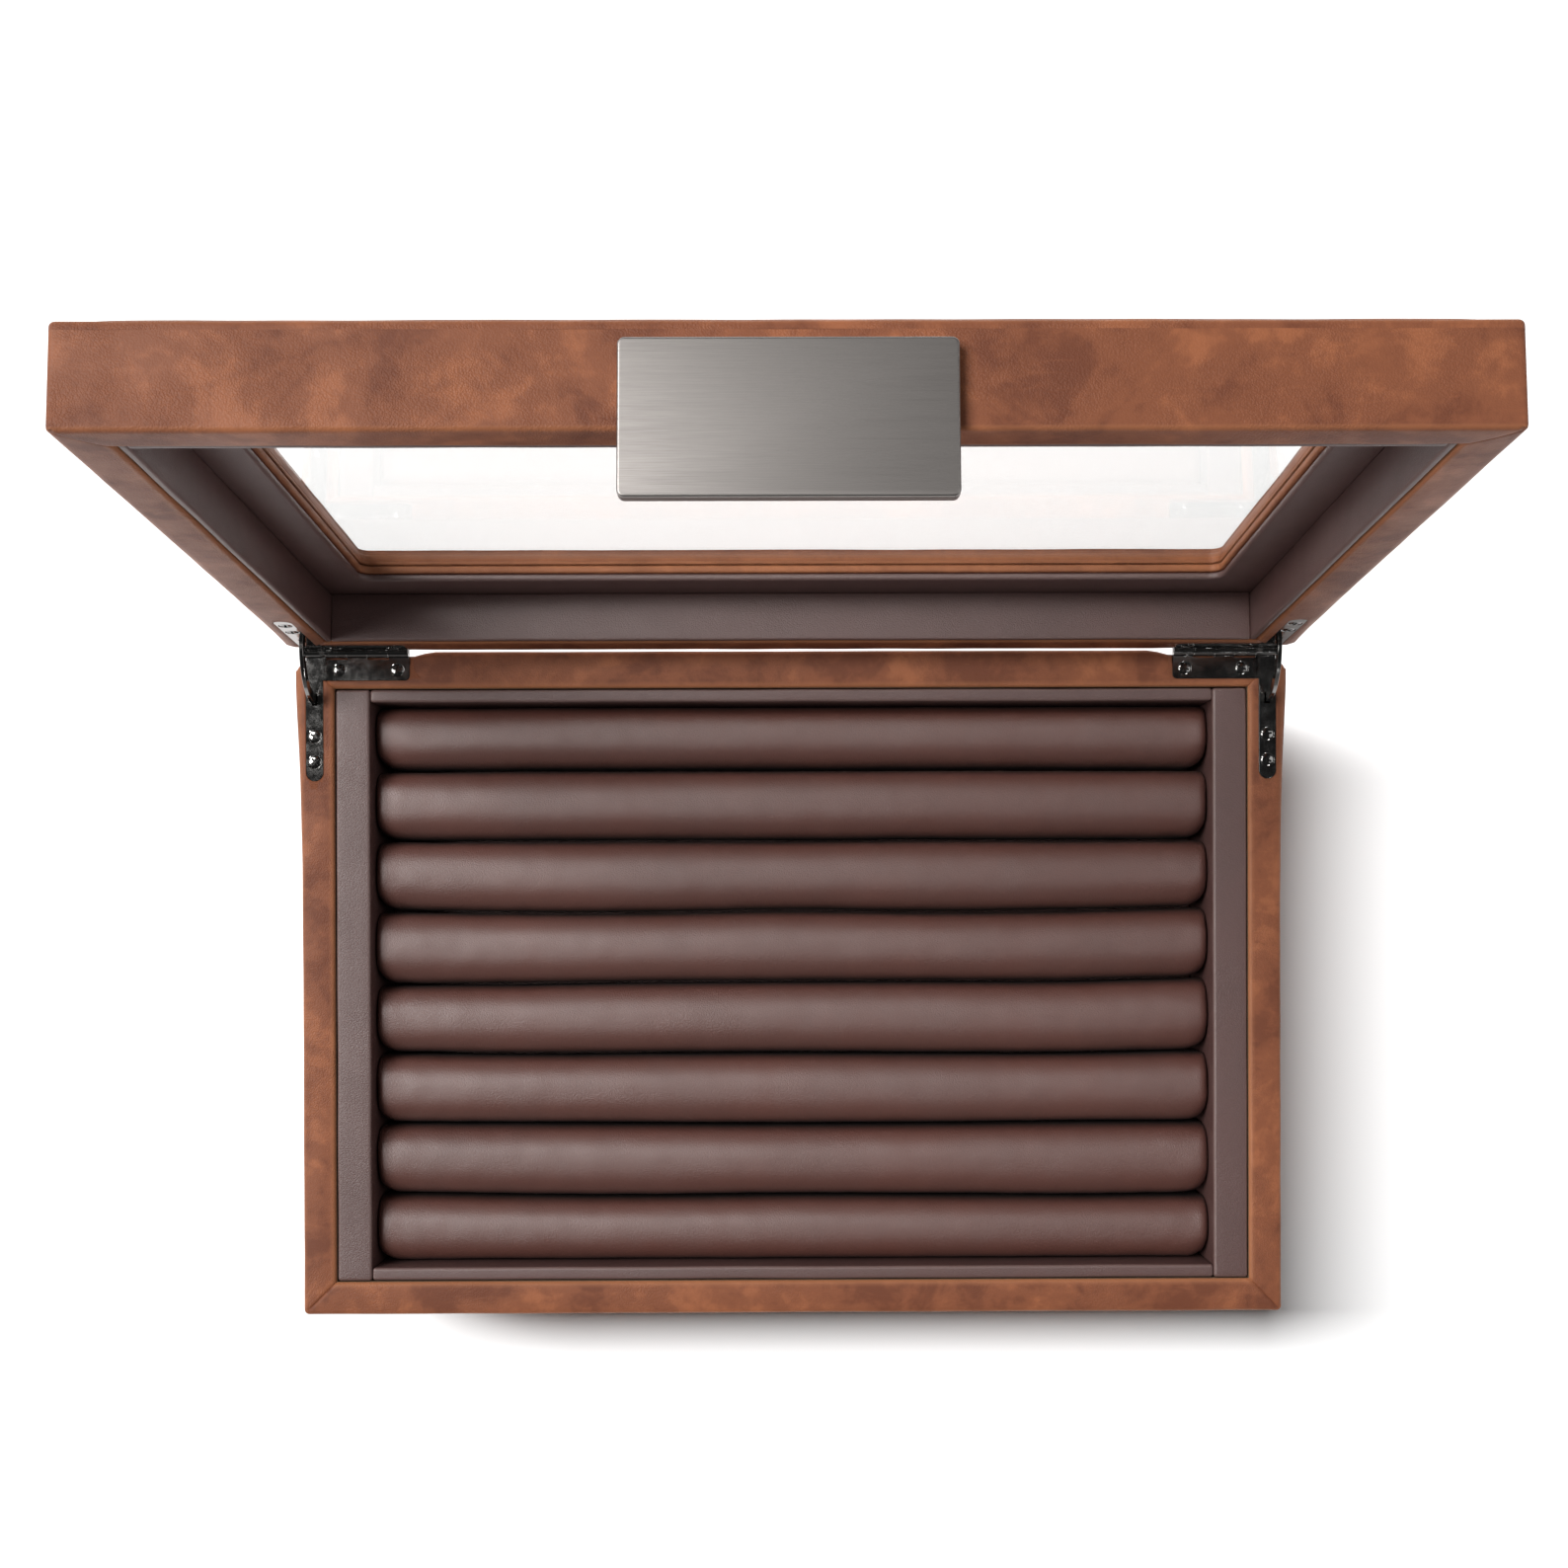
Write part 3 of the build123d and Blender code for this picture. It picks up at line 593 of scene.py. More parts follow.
def new_material(name):
    """A material with only its output and a Principled shader."""
    material = bpy.data.materials.new(name)
    material.use_nodes = True
    material.node_tree.nodes.clear()
    w = Wiring(material.node_tree)
    shader = w.add("ShaderNodeBsdfPrincipled")
    out = w.add("ShaderNodeOutputMaterial")
    w.tree.links.new(shader.outputs[0], out.inputs["Surface"])
    return material, w, shader


def set_shader(shader, **values):
    for key, value in values.items():
        shader.inputs[key.replace("_", " ")].default_value = value


def tan_leather(groups, colours):
    """Mottled, hand-rubbed outer leather with pebbled patches, and rounded edges lightened partly by rubbed wear and
    partly by a painted highlight.
    """
    material, w, shader = new_material(FINISHES["tan"])
    v = group_node(w, groups["place"]).outputs["Vector"]
    clouds = group_node(w, groups["clouds"], Vector=v, Cloud_scale=52.0, Contrast=1.0)
    grain = group_node(w, groups["grain"], Vector=v, Pebbles=2300.0, Patchiness=0.70, Creases=0.12)
    low = w.mix(w.remap(clouds.outputs["Clouds"], 0.12, 0.55), colours.tan_dark, colours.tan_mid)
    colour = w.mix(w.remap(clouds.outputs["Clouds"], 0.55, 0.95), low, colours.tan_light)
    colour = w.mix(w.math("MULTIPLY", clouds.outputs["Streaks"], 0.22), colour, colours.tan_light)
    colour = w.mix(w.math("MULTIPLY", grain.outputs["Pores"], 0.30), colour, colours.tan_dark)
    # Rounded edges lightened towards the rubbed colour: partly wear, partly a painted highlight.
    rub_and_highlight = w.add("ShaderNodeAttribute", {"attribute_name": "rub_and_highlight", "attribute_type": "GEOMETRY"}).outputs["Fac"]
    colour = w.mix(w.math("MULTIPLY", rub_and_highlight, 0.75), colour, colours.tan_rubbed_and_highlight)
    w.tree.links.new(colour, shader.inputs["Base Color"])
    w.tree.links.new(w.remap(clouds.outputs["Clouds"], 0.0, 1.0, 0.56, 0.48), shader.inputs["Roughness"])
    bump = w.add("ShaderNodeBump", Height=grain.outputs["Height"], Strength=0.6, Distance=0.00012)
    w.tree.links.new(bump.outputs[0], shader.inputs["Normal"])
    set_shader(shader, Specular_IOR_Level=0.28)
    return material


def lining_leather(name, groups, colour, edge, pebbles, patchiness, creases, rough, strength, polish=0.0):
    """Smooth dark leather with a fine pebbled grain, a soft broad shine, lighter edges that are partly stretched
    leather and partly a painted highlight, and painted shade down the rolls' flanks and in their creases.
    """
    material, w, shader = new_material(name)
    v = group_node(w, groups["place"]).outputs["Vector"]
    clouds = group_node(w, groups["clouds"], Vector=v, Cloud_scale=38.0, Contrast=0.7)
    grain = group_node(w, groups["grain"], Vector=v, Pebbles=pebbles, Patchiness=patchiness, Creases=creases)
    darker = [c * 0.80 for c in colour]
    mixed = w.mix(clouds.outputs["Clouds"], darker, colour)
    mixed = w.mix(w.math("MULTIPLY", grain.outputs["Pores"], 0.35), mixed, [c * 0.45 for c in colour])
    # Rounded edges lightened towards the edge colour: partly stretched leather, partly a painted highlight.
    rub_and_highlight = w.add("ShaderNodeAttribute", {"attribute_name": "rub_and_highlight", "attribute_type": "GEOMETRY"}).outputs["Fac"]
    mixed = w.mix(w.math("MULTIPLY", rub_and_highlight, 0.6), mixed, edge)
    # Painted shade: darkens the roll leather almost to black down its flanks and in the creases between rolls.
    painted_crease_shade = w.add("ShaderNodeAttribute", {"attribute_name": "painted_crease_shade", "attribute_type": "GEOMETRY"}).outputs["Fac"]
    mixed = w.mix(w.math("MULTIPLY", painted_crease_shade, 0.92), mixed, [c * 0.06 for c in colour])
    w.tree.links.new(mixed, shader.inputs["Base Color"])
    w.tree.links.new(w.remap(clouds.outputs["Clouds"], 0.0, 1.0, rough + 0.04, rough - 0.03), shader.inputs["Roughness"])
    bump = w.add("ShaderNodeBump", Height=grain.outputs["Height"], Strength=strength, Distance=0.00010)
    w.tree.links.new(bump.outputs[0], shader.inputs["Normal"])
    set_shader(shader, Specular_IOR_Level=1.0, Coat_Weight=polish, Coat_Roughness=0.5)
    return material


def suede_cloth(name, groups, colour):
    """Short-napped suede, brushed in soft patches."""
    material, w, shader = new_material(name)
    v = group_node(w, groups["place"]).outputs["Vector"]
    clouds = group_node(w, groups["clouds"], Vector=v, Cloud_scale=70.0, Contrast=0.9)
    nap = w.noise(v, 2600.0, 3.0, 0.7)
    colour_low = [c * 0.72 for c in colour]
    mixed = w.mix(clouds.outputs["Clouds"], colour_low, colour)
    mixed = w.mix(w.math("MULTIPLY", w.remap(nap, 0.45, 0.75), 0.45), mixed, [min(1.0, c * 1.6) for c in colour])
    w.tree.links.new(mixed, shader.inputs["Base Color"])
    bump = w.add("ShaderNodeBump", Height=nap, Strength=0.6, Distance=0.00012)
    w.tree.links.new(bump.outputs[0], shader.inputs["Normal"])
    set_shader(shader, Roughness=0.95, Specular_IOR_Level=0.2, Sheen_Weight=0.35, Sheen_Roughness=0.5)
    return material


def fibre_board(groups, colour):
    """Dense wood-fibre board with short fibres."""
    material, w, shader = new_material(FINISHES["board"])
    v = group_node(w, groups["place"]).outputs["Vector"]
    fibres = w.noise(w.stretch(v, (0.4, 1.0, 2.4)), 900.0, 5.0, 0.7)
    mixed = w.mix(w.remap(fibres, 0.3, 0.7), [c * 0.7 for c in colour], [min(1.0, c * 1.25) for c in colour])
    w.tree.links.new(mixed, shader.inputs["Base Color"])
    bump = w.add("ShaderNodeBump", Height=fibres, Strength=0.4, Distance=0.00010)
    w.tree.links.new(bump.outputs[0], shader.inputs["Normal"])
    set_shader(shader, Roughness=0.85, Specular_IOR_Level=0.3)
    return material


def brushed_metal(groups, colour):
    """Gunmetal brushed along X, with fine lines of changing length and polish."""
    material, w, shader = new_material(FINISHES["gunmetal"])
    v = w.add("ShaderNodeTexCoord").outputs["Object"]
    lines = w.noise(w.stretch(v, (0.018, 1.0, 1.0)), 5200.0, 3.0, 0.65)
    broad = w.noise(w.stretch(v, (0.05, 1.0, 1.0)), 620.0, 3.0, 0.6)
    tone = w.math("ADD", w.math("MULTIPLY", lines, 0.6), w.math("MULTIPLY", broad, 0.4))
    mixed = w.mix(w.remap(tone, 0.3, 0.7), [c * 0.84 for c in colour], [min(1.0, c * 1.14) for c in colour])
    w.tree.links.new(mixed, shader.inputs["Base Color"])
    w.tree.links.new(w.remap(tone, 0.3, 0.7, 0.44, 0.36), shader.inputs["Roughness"])
    bump = w.add("ShaderNodeBump", Height=tone, Strength=0.22, Distance=0.00003)
    w.tree.links.new(bump.outputs[0], shader.inputs["Normal"])
    set_shader(shader, Metallic=1.0)
    return material


def black_nickel(groups, colour):
    """Glossy dark plating with a faint handling haze."""
    material, w, shader = new_material(FINISHES["nickel"])
    v = w.add("ShaderNodeTexCoord").outputs["Object"]
    haze = w.noise(v, 340.0, 4.0, 0.6)
    fine = w.noise(v, 2100.0, 2.0, 0.5)
    mixed = w.mix(haze, [c * 0.75 for c in colour], [c * 1.25 for c in colour])
    w.tree.links.new(mixed, shader.inputs["Base Color"])
    w.tree.links.new(w.remap(haze, 0.3, 0.75, 0.08, 0.17), shader.inputs["Roughness"])
    bump = w.add("ShaderNodeBump", Height=fine, Strength=0.05, Distance=0.00003)
    w.tree.links.new(bump.outputs[0], shader.inputs["Normal"])
    set_shader(shader, Metallic=1.0)
    return material


def clear_glass():
    """Clear pane that lets the studio light through to the tray."""
    material, w, shader = new_material(FINISHES["glass"])
    v = w.add("ShaderNodeTexCoord").outputs["Object"]
    dust = w.noise(v, 900.0, 4.0, 0.7)
    w.tree.links.new(w.remap(dust, 0.45, 0.9, 0.0, 0.03), shader.inputs["Roughness"])
    set_shader(shader, Base_Color=(0.985, 0.995, 0.99, 1.0), Metallic=0.0, IOR=1.46, Transmission_Weight=1.0)
    see = w.add("ShaderNodeBsdfTransparent")
    see.inputs[0].default_value = (0.93, 0.945, 0.94, 1.0)
    shadow = w.add("ShaderNodeLightPath").outputs["Is Shadow Ray"]
    both = w.add("ShaderNodeMixShader")
    w.tree.links.new(shadow, both.inputs[0])
    w.tree.links.new(shader.outputs[0], both.inputs[1])
    w.tree.links.new(see.outputs[0], both.inputs[2])
    out = next(n for n in w.tree.nodes if n.bl_idname == "ShaderNodeOutputMaterial")
    w.tree.links.new(both.outputs[0], out.inputs["Surface"])
    return material


FINISHES = {
    "tan": "rubbed_tan_leather",
    "lining": "smooth_lining_leather",
    "roll": "soft_roll_leather",
    "suede": "foot_suede",
    "drawer": "drawer_suede",
    "board": "wood_fibre_board",
    "gunmetal": "brushed_gunmetal_plate",
    "nickel": "polished_black_nickel",
    "glass": "clear_glass",
}


def finishes():
    """Every finish, built once."""
    if FINISHES["tan"] not in bpy.data.materials:
        colours = bpy.context.scene.cufflink_box_colours
        groups = {"place": piece_coordinates_group(), "clouds": clouds_group(), "grain": grain_group()}
        tan_leather(groups, colours)
        lining_leather(FINISHES["lining"], groups, list(colours.lining), list(colours.lining_edge_and_highlight), 3200.0, 0.25, 0.08, 0.50, 0.50)
        lining_leather(FINISHES["roll"], groups, list(colours.roll), list(colours.roll), 2900.0, 0.25, 0.10, 0.50, 0.60, 0.75)
        suede_cloth(FINISHES["suede"], groups, list(colours.suede))
        suede_cloth(FINISHES["drawer"], groups, [c * 1.15 for c in colours.suede])
        fibre_board(groups, list(colours.board))
        brushed_metal(groups, list(colours.gunmetal))
        black_nickel(groups, list(colours.nickel))
        clear_glass()
    return {key: bpy.data.materials[name] for key, name in FINISHES.items()}


def paint_node(node, material):
    """Gives a CAD node that stays its finish."""
    for slot in frame["nodes"][node].material_slots:
        slot.material = material


# ---------------------------------------------------------------- leather walls

SPANS = (96, 66)


def skin_section(depth, outer_round, inner_round):
    """The leather's section over one wall: pairs of inset and depth from the rim, then its inner side, and a mask that
    lightens the rounded edges, partly as rubbed wear and partly as a painted highlight.
    """
    section = []
    lengths = 14
    for i in range(lengths + 1):
        t = 1 - i / lengths
        section.append((0.0, outer_round + (depth - outer_round) * t, 0.0))
    # The third number lightens the rounded edges: rubbed wear and a painted highlight.
    for s, c in quarter_turn(6)[1:]:
        section.append((outer_round * (1 - c), outer_round * (1 - s), 0.45 * math.sin(math.pi * min(1.0, s))))
    flat_from, flat_to = outer_round, RIM_WIDTH - inner_round
    for i in range(1, 9):
        t = i / 9
        section.append((flat_from + (flat_to - flat_from) * t, -0.12 * math.sin(math.pi * t), 0.0))
    for s, c in quarter_turn(6):
        section.append((flat_to + inner_round * s, inner_round * (1 - c), 0.25 + 0.75 * s))
    section.append((RIM_WIDTH - 0.15, SKIN, 1.0))
    section.append((SKIN, SKIN, 0.0))
    section.append((SKIN, depth, 0.0))
    return section


def rounded_in(y):
    """Zero at the back corner and one from a few millimetres in front of it."""
    return min(1.0, max(0.0, (HALF_Y + 0.6 - y) / 3.2))


def base_swell(y, w, sizes):
    """How far the base's side leather swells at a place along the wall: most beside the hinge, nothing at the front."""
    along = math.exp(-((max(0.0, HALF_Y - 8.0 - y) / 30.0) ** 1.35))
    down = math.exp(-((max(0.0, w - 3.0) / 16.0) ** 2)) * min(1.0, 0.35 + w / 2.0)
    return sizes.side_bulge / MM * along * rounded_in(y) * down


def lid_swell(y, w, sizes):
    """How far the lid's side leather swells: all along it, and most beside the hinge."""
    t = (y + HALF_Y) / (2 * HALF_Y)
    front, hinge = sizes.lid_front_swell / MM, sizes.lid_side_swell / MM
    along = front + (hinge - front) * (0.55 * t + 0.45 * math.exp(-(HALF_Y - y) / 14.0))
    return along * rounded_in(y) * min(1.0, 0.5 + w / 2.0)


def leather_wall(quarter, sizes, depth, place, swell, seed):
    """Points, faces and masks of one wall's leather."""
    outer, inner = sizes.rim_round / MM, sizes.rim_inner_round / MM
    wave = sizes.leather_wave / MM
    back_swell = sizes.back_swell / MM * (1.0 if swell is base_swell else 0.35)
    columns = quarter_columns(quarter, SPANS)
    loops, rub_and_highlight = [], []
    for inset, w, rubbed in skin_section(depth, outer, inner):
        flat = wall_outline(inset, SPANS)
        loop = []
        for k, column in enumerate(columns):
            x, y = flat[column]
            p = Vector((x, y, w))
            near = min(k, len(columns) - 1 - k)
            away = max(0, near - CORNER_STEPS // 2)
            radius = (BACK_CORNER if y > 0 else FRONT_CORNER) - inset
            free = 1.0 if away else near / (CORNER_STEPS // 2 + 1) * (radius > 0.1)
            if inset < SKIN or w < SKIN * 0.99:
                p = uneven(p, wave * free, 16.0, seed)
                if w < outer * 1.2 and inset > 0.2:
                    p.z += (0.34, 0.16, 0.03, 0.0)[min(away, 3)]
            if quarter in SIDES and inset < 5:
                out = free * swell(y, w, sizes) * max(0.0, 1 - inset / 5)
                p.x += SIDES[quarter] * out
            elif swell is lid_swell:
                p.x *= 1 + sizes.lid_front_swell / MM / HALF_X * (quarter == "front")
            if quarter == "back" and inset < 5:
                between = min(1.0, max(0.0, (LEAF_X - LEAF_LONG - 2.0 - abs(x)) / 5.0))
                p.y += back_swell * between ** 0.6 * math.exp(-((max(0.0, w - 2.0) / 14.0) ** 2)) * (1 - inset / 5)
            loop.append(place(*p))
            rub_and_highlight.append(rubbed)
        loops.append(loop)
    points, faces = strip(loops)
    return points, faces, {"rub_and_highlight": rub_and_highlight, "cut": [1.0 + QUARTERS.index(quarter) + seed] * len(points)}


def make_leather_walls(body, prefix, depth, place, swell, seed):
    """The four mitred leather walls of the base or the lid."""
    sizes, looks = bpy.context.scene.cufflink_box_sizes, finishes()
    for i, quarter in enumerate(QUARTERS):
        points, faces, masks = leather_wall(quarter, sizes, depth, place, swell, seed + i)
        name = f"{prefix}_{quarter}"
        piece = finish_piece(f"{name}_wrap", points, faces, looks["tan"], body, (name,), masks=masks)
        cutters = [c for side in SIDES if quarter in ("back", side) for c in hinge_cutters(side, place)]
        if prefix == "base_leather" and quarter == "front":
            opening = [(-INNER_X, -HALF_Y - 3), (INNER_X, -HALF_Y - 3), (INNER_X, -HALF_Y + SKIN + 2), (-INNER_X, -HALF_Y + SKIN + 2)]
            bay_low, bay_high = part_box("bottom_board")[1].z / MM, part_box("tray_divider_board")[0].z / MM
            cutters = [prism("cutter_bay", opening, RIM_Z - bay_high, RIM_Z - bay_low, place)]
        if cutters:
            carve(piece, cutters)


class CUFFLINKBOX_OT_base_leather(Operator):
    """Wraps the base's walls and rim in tan leather, swollen a little beside the hinges"""

    bl_idname = "cufflinkbox.base_leather"
    bl_label = "Base leather"

    def execute(self, context):
        make_leather_walls("base", "base_leather", RIM_Z - FOOT_Z, base_place, base_swell, 0)
        return {"FINISHED"}


class CUFFLINKBOX_OT_lid_leather(Operator):
    """Wraps the lid's walls and rim in tan leather"""

    bl_idname = "cufflinkbox.lid_leather"
    bl_label = "Lid leather"

    def execute(self, context):
        make_leather_walls("lid", "lid_leather", LID_SIDE, lid_place, lid_swell, 10)
        return {"FINISHED"}


# ---------------------------------------------------------------- lid


class CUFFLINKBOX_OT_lid_top(Operator):
    """Makes the padded leather border of the lid's top and the covered panels round its window"""

    bl_idname = "cufflinkbox.lid_top"
    bl_label = "Padded lid top and window"

    def execute(self, context):
        looks = finishes()
        sizes = context.scene.cufflink_box_sizes
        crown = sizes.top_crown / MM
        low, high = LID_SIDE, 22.7

        def between(t, outset, inset):
            a, b = wall_outline(inset, SPANS), window_outline(outset, SPANS)
            return [((1 - t) * p[0] + t * q[0], (1 - t) * p[1] + t * q[1]) for p, q in zip(a, b)]

        edge, width = 1.2, HALF_Y - WINDOW_Y
        # The last number of each step lightens the rounded edges: rubbed wear and a painted highlight.
        section = [(0.0, 0.0, 0.0, low, 0.0)]
        for s, c in quarter_turn(5):
            section.append((0.0, 0.0, edge * (1 - c), high - edge + edge * s, 0.5 * s))
        section.append((0.0, 0.0, edge + 0.25, high - 0.12, 0.0))
        for k in range(1, 31):
            t = k / 31
            outer_rise = math.sqrt(max(0.0, 1 - max(0.0, 1 - (t * width - edge) / 3.6) ** 2))
            inner_rise = math.sqrt(max(0.0, 1 - max(0.0, 1 - (1 - t) * width / 3.2) ** 2))
            section.append((t, 0.0, (edge + 0.4) * (1 - t), high + crown * outer_rise * (0.25 + 0.75 * inner_rise), 0.0))
        for s, c in quarter_turn(5):
            section.append((1.0, 0.9 * (1 - s), 0.0, high - 0.9 * (1 - c), 0.6))
        section.append((1.0, 0.0, 0.0, low, 0.0))
        loops, rub_and_highlight = [], []
        for t, outset, inset, u, rubbed in section:
            flat = between(t, outset, inset)
            loop = []
            for x, y in flat:
                x *= 1 + 1.0 / HALF_X * (1 - t)
                free_x, free_y = (min(1.0, (half - abs(v)) / 12.0) for half, v in ((HALF_X, x), (HALF_Y, y)))
                puff = 1 - ((1 - free_x) * (1 - free_y)) ** 1.5
                rise = high + (u - high) * puff if u > high else u
                loop.append(lid_place(*uneven((x, y, rise), 0.12 if u > low + 0.3 else 0.0, 18.0, 31)))
            loops.append(loop)
            rub_and_highlight += [rubbed] * len(flat)
        points, faces = ring(loops)
        masks = {"rub_and_highlight": rub_and_highlight, "cut": [21.0] * len(points)}
        border = finish_piece("lid_padded_border", points, faces, looks["tan"], "lid", ("lid_padded_leather_top",), masks=masks)

        def panel(name, node, section, cut, finish="tan"):
            loops, rub_and_highlight = [], []
            for family, offset, u, rubbed in section:
                flat = wall_outline(offset, SPANS) if family == "wall" else window_outline(offset, SPANS)
                loops.append([lid_place(x, y, u) for x, y in flat])
                rub_and_highlight += [rubbed] * len(flat)
            points, faces = ring(loops)
            return finish_piece(name, points, faces, looks[finish], "lid", (node,), masks={"rub_and_highlight": rub_and_highlight, "cut": [cut] * len(points)})

        def rounded_lip(low_u, high_u, radius, offset=0.0, rubbed=0.5):
            # rubbed lightens the lip's rounding: rubbed wear and a painted highlight.
            turn = quarter_turn(5)
            lip = [("window", offset + radius * (1 - s), low_u + radius * (1 - c), rubbed * s) for s, c in turn]
            lip += [("window", offset + radius * (1 - c), high_u - radius * (1 - s), rubbed * c) for s, c in turn]
            return lip

        panel("window_frame_cover", "lid_frame_panel", [("wall", SKIN, 16.1, 0.0), *rounded_lip(16.1, 18.3, 0.75), ("wall", SKIN, 18.3, 0.0)], 22.0)
        groove = [("window", 5.2, 18.3, 0.0), ("window", 5.2, 19.8, 0.0)]
        panel("window_glass_cover", "lid_top_panel", [("wall", SKIN, 18.3, 0.0), *groove, *rounded_lip(19.8, 20.6, 0.25), ("wall", SKIN, 20.6, 0.0)], 23.0)
        liner_low, liner_high = 14.1, 16.1
        inset = HALF_X - INNER_X + SEAM
        panel(
            "window_lining_panel", "lid_liner_panel",
            [("wall", inset, liner_low, 0.0), *rounded_lip(liner_low, liner_high, 0.85, 0.6, 0.8), ("wall", inset, liner_high, 0.0)],
            24.0, "lining",
        )
        return {"FINISHED"}


class CUFFLINKBOX_OT_lid_linings(Operator):
    """Makes the four lined strips inside the lid's walls"""

    bl_idname = "cufflinkbox.lid_linings"
    bl_label = "Lid wall linings"

    def execute(self, context):
        looks = finishes()
        x1, y1, t = INNER_X - SEAM, INNER_Y - SEAM, 1.9
        low, high, r = 0.4, 14.1, 0.7
        points, faces, rub_and_highlight, cut = [], [], [], []
        strips = []
        for s in (-1, 1):
            xs = sorted((s * x1, s * (x1 - t)))
            strips.append(((xs[0], -y1, low), (xs[1], y1, high), (1, 60, 4)))
            ys = sorted((s * y1, s * (y1 - t)))
            strips.append(((t - x1, ys[0], low), (x1 - t, ys[1], high), (90, 1, 4)))
        for i, (a, b, spans) in enumerate(strips):
            more, sides, edge = block(a, b, r, spans)
            start = len(points)
            for p in more:
                q = uneven(p, 0.10, 20.0, 40 + i)
                points.append(lid_place(*q))
            faces += [tuple(v + start for v in f) for f in sides]
            rub_and_highlight += edge
            cut += [30.0 + i] * len(more)
        finish_piece("lid_lining_strips", points, faces, looks["lining"], "lid", ("lid_wall_liners",), masks={"rub_and_highlight": rub_and_highlight, "cut": cut})
        return {"FINISHED"}


class CUFFLINKBOX_OT_lid_glass_and_boards(Operator):
    """Finishes the glass pane and the boards of the lid and the base"""

    bl_idname = "cufflinkbox.glass_and_boards"
    bl_label = "Glass and boards"

    def execute(self, context):
        looks = finishes()
        paint_node("lid_glass_pane", looks["glass"])
        for node in frame["nodes"]:
            if "board" in node or node in ("base_front_fascia", "drawer_stop_rail"):
                paint_node(node, looks["board"])
        return {"FINISHED"}


class CUFFLINKBOX_OT_lifting_plate(Operator):
    """Makes the brushed lifting plate on the lid's front"""

    bl_idname = "cufflinkbox.lifting_plate"
    bl_label = "Lifting plate"

    def execute(self, context):
        refine("lid_lifting_plate", "lifting_plate_brushed", finishes()["gunmetal"], "lid", sharp=40)
        return {"FINISHED"}


# ---------------------------------------------------------------- tray


class CUFFLINKBOX_OT_tray_linings(Operator):
    """Makes the four lined boards round the tray and the pad under its rolls"""

    bl_idname = "cufflinkbox.tray_linings"
    bl_label = "Tray linings"

    def execute(self, context):
        looks = finishes()
        r = context.scene.cufflink_box_sizes.lining_round / MM
        low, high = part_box("tray_liner_left")[0].z / MM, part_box("tray_liner_left")[1].z / MM
        y1 = INNER_Y - SEAM
        for side, s in SIDES.items():
            xs = sorted((s * TRAY_X, s * (INNER_X - SEAM)))
            soft_block(f"tray_ledge_{side}", (xs[0], -y1, low), (xs[1], y1, high), r, world_place, looks["lining"], "base",
                       (f"tray_liner_{side}",), (3, 70, 6), 0.12, 50 + s, 40.0 + s)
        end_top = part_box("tray_liner_front")[1].z / MM
        for side, s in (("front", -1), ("back", 1)):
            ys = sorted((s * TRAY_Y, s * y1))
            soft_block(f"tray_ledge_{side}", (0.03 - TRAY_X, ys[0], low), (TRAY_X - 0.03, ys[1], end_top), r, world_place, looks["lining"], "base",
                       (f"tray_liner_{side}",), (100, 1, 6), 0.12, 54 + s, 44.0 + s)
        pad_low, pad_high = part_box("tray_floor_pad")
        pad = soft_block("tray_pad", [c / MM for c in pad_low], [c / MM for c in pad_high], 1.3, world_place, looks["roll"], "base",
                         ("tray_floor_pad",), (60, 40, 1), 0.10, 60, 47.0)
        return {"FINISHED"}


# how far each crease between two rolls strays from its straight line, front to back, at seven places from left to right
CREASE_DRIFT = (
    (0.0, 0.1, 0.1, 0.0, 0.1, 0.0, -0.2),
    (0.2, 0.1, 0.2, 0.0, 0.2, 0.0, 0.1),
    (0.5, -0.3, -0.3, 0.3, -0.3, 0.0, 0.9),
    (-0.5, -0.4, 0.0, 0.1, 0.1, 0.0, 0.9),
    (0.3, -0.3, -0.2, -0.1, -0.4, -0.5, 0.2),
    (0.5, 0.2, -0.1, -0.4, -0.3, 0.0, 0.1),
    (0.6, -0.2, -0.6, -0.3, -0.6, -1.0, -0.6),
)


def smooth_between(values, t):
    """A smooth curve through evenly spaced values, for t from 0 to 1."""
    n = len(values) - 1
    at = min(max(t, 0.0), 1.0) * n
    i = min(int(at), n - 1)
    f = at - i
    a = values[max(i - 1, 0)]
    b, c = values[i], values[i + 1]
    d = values[min(i + 2, n)]
    return b + 0.5 * f * (c - a + f * (2 * a - 5 * b + 4 * c - d + f * (3 * (b - c) + d - a)))


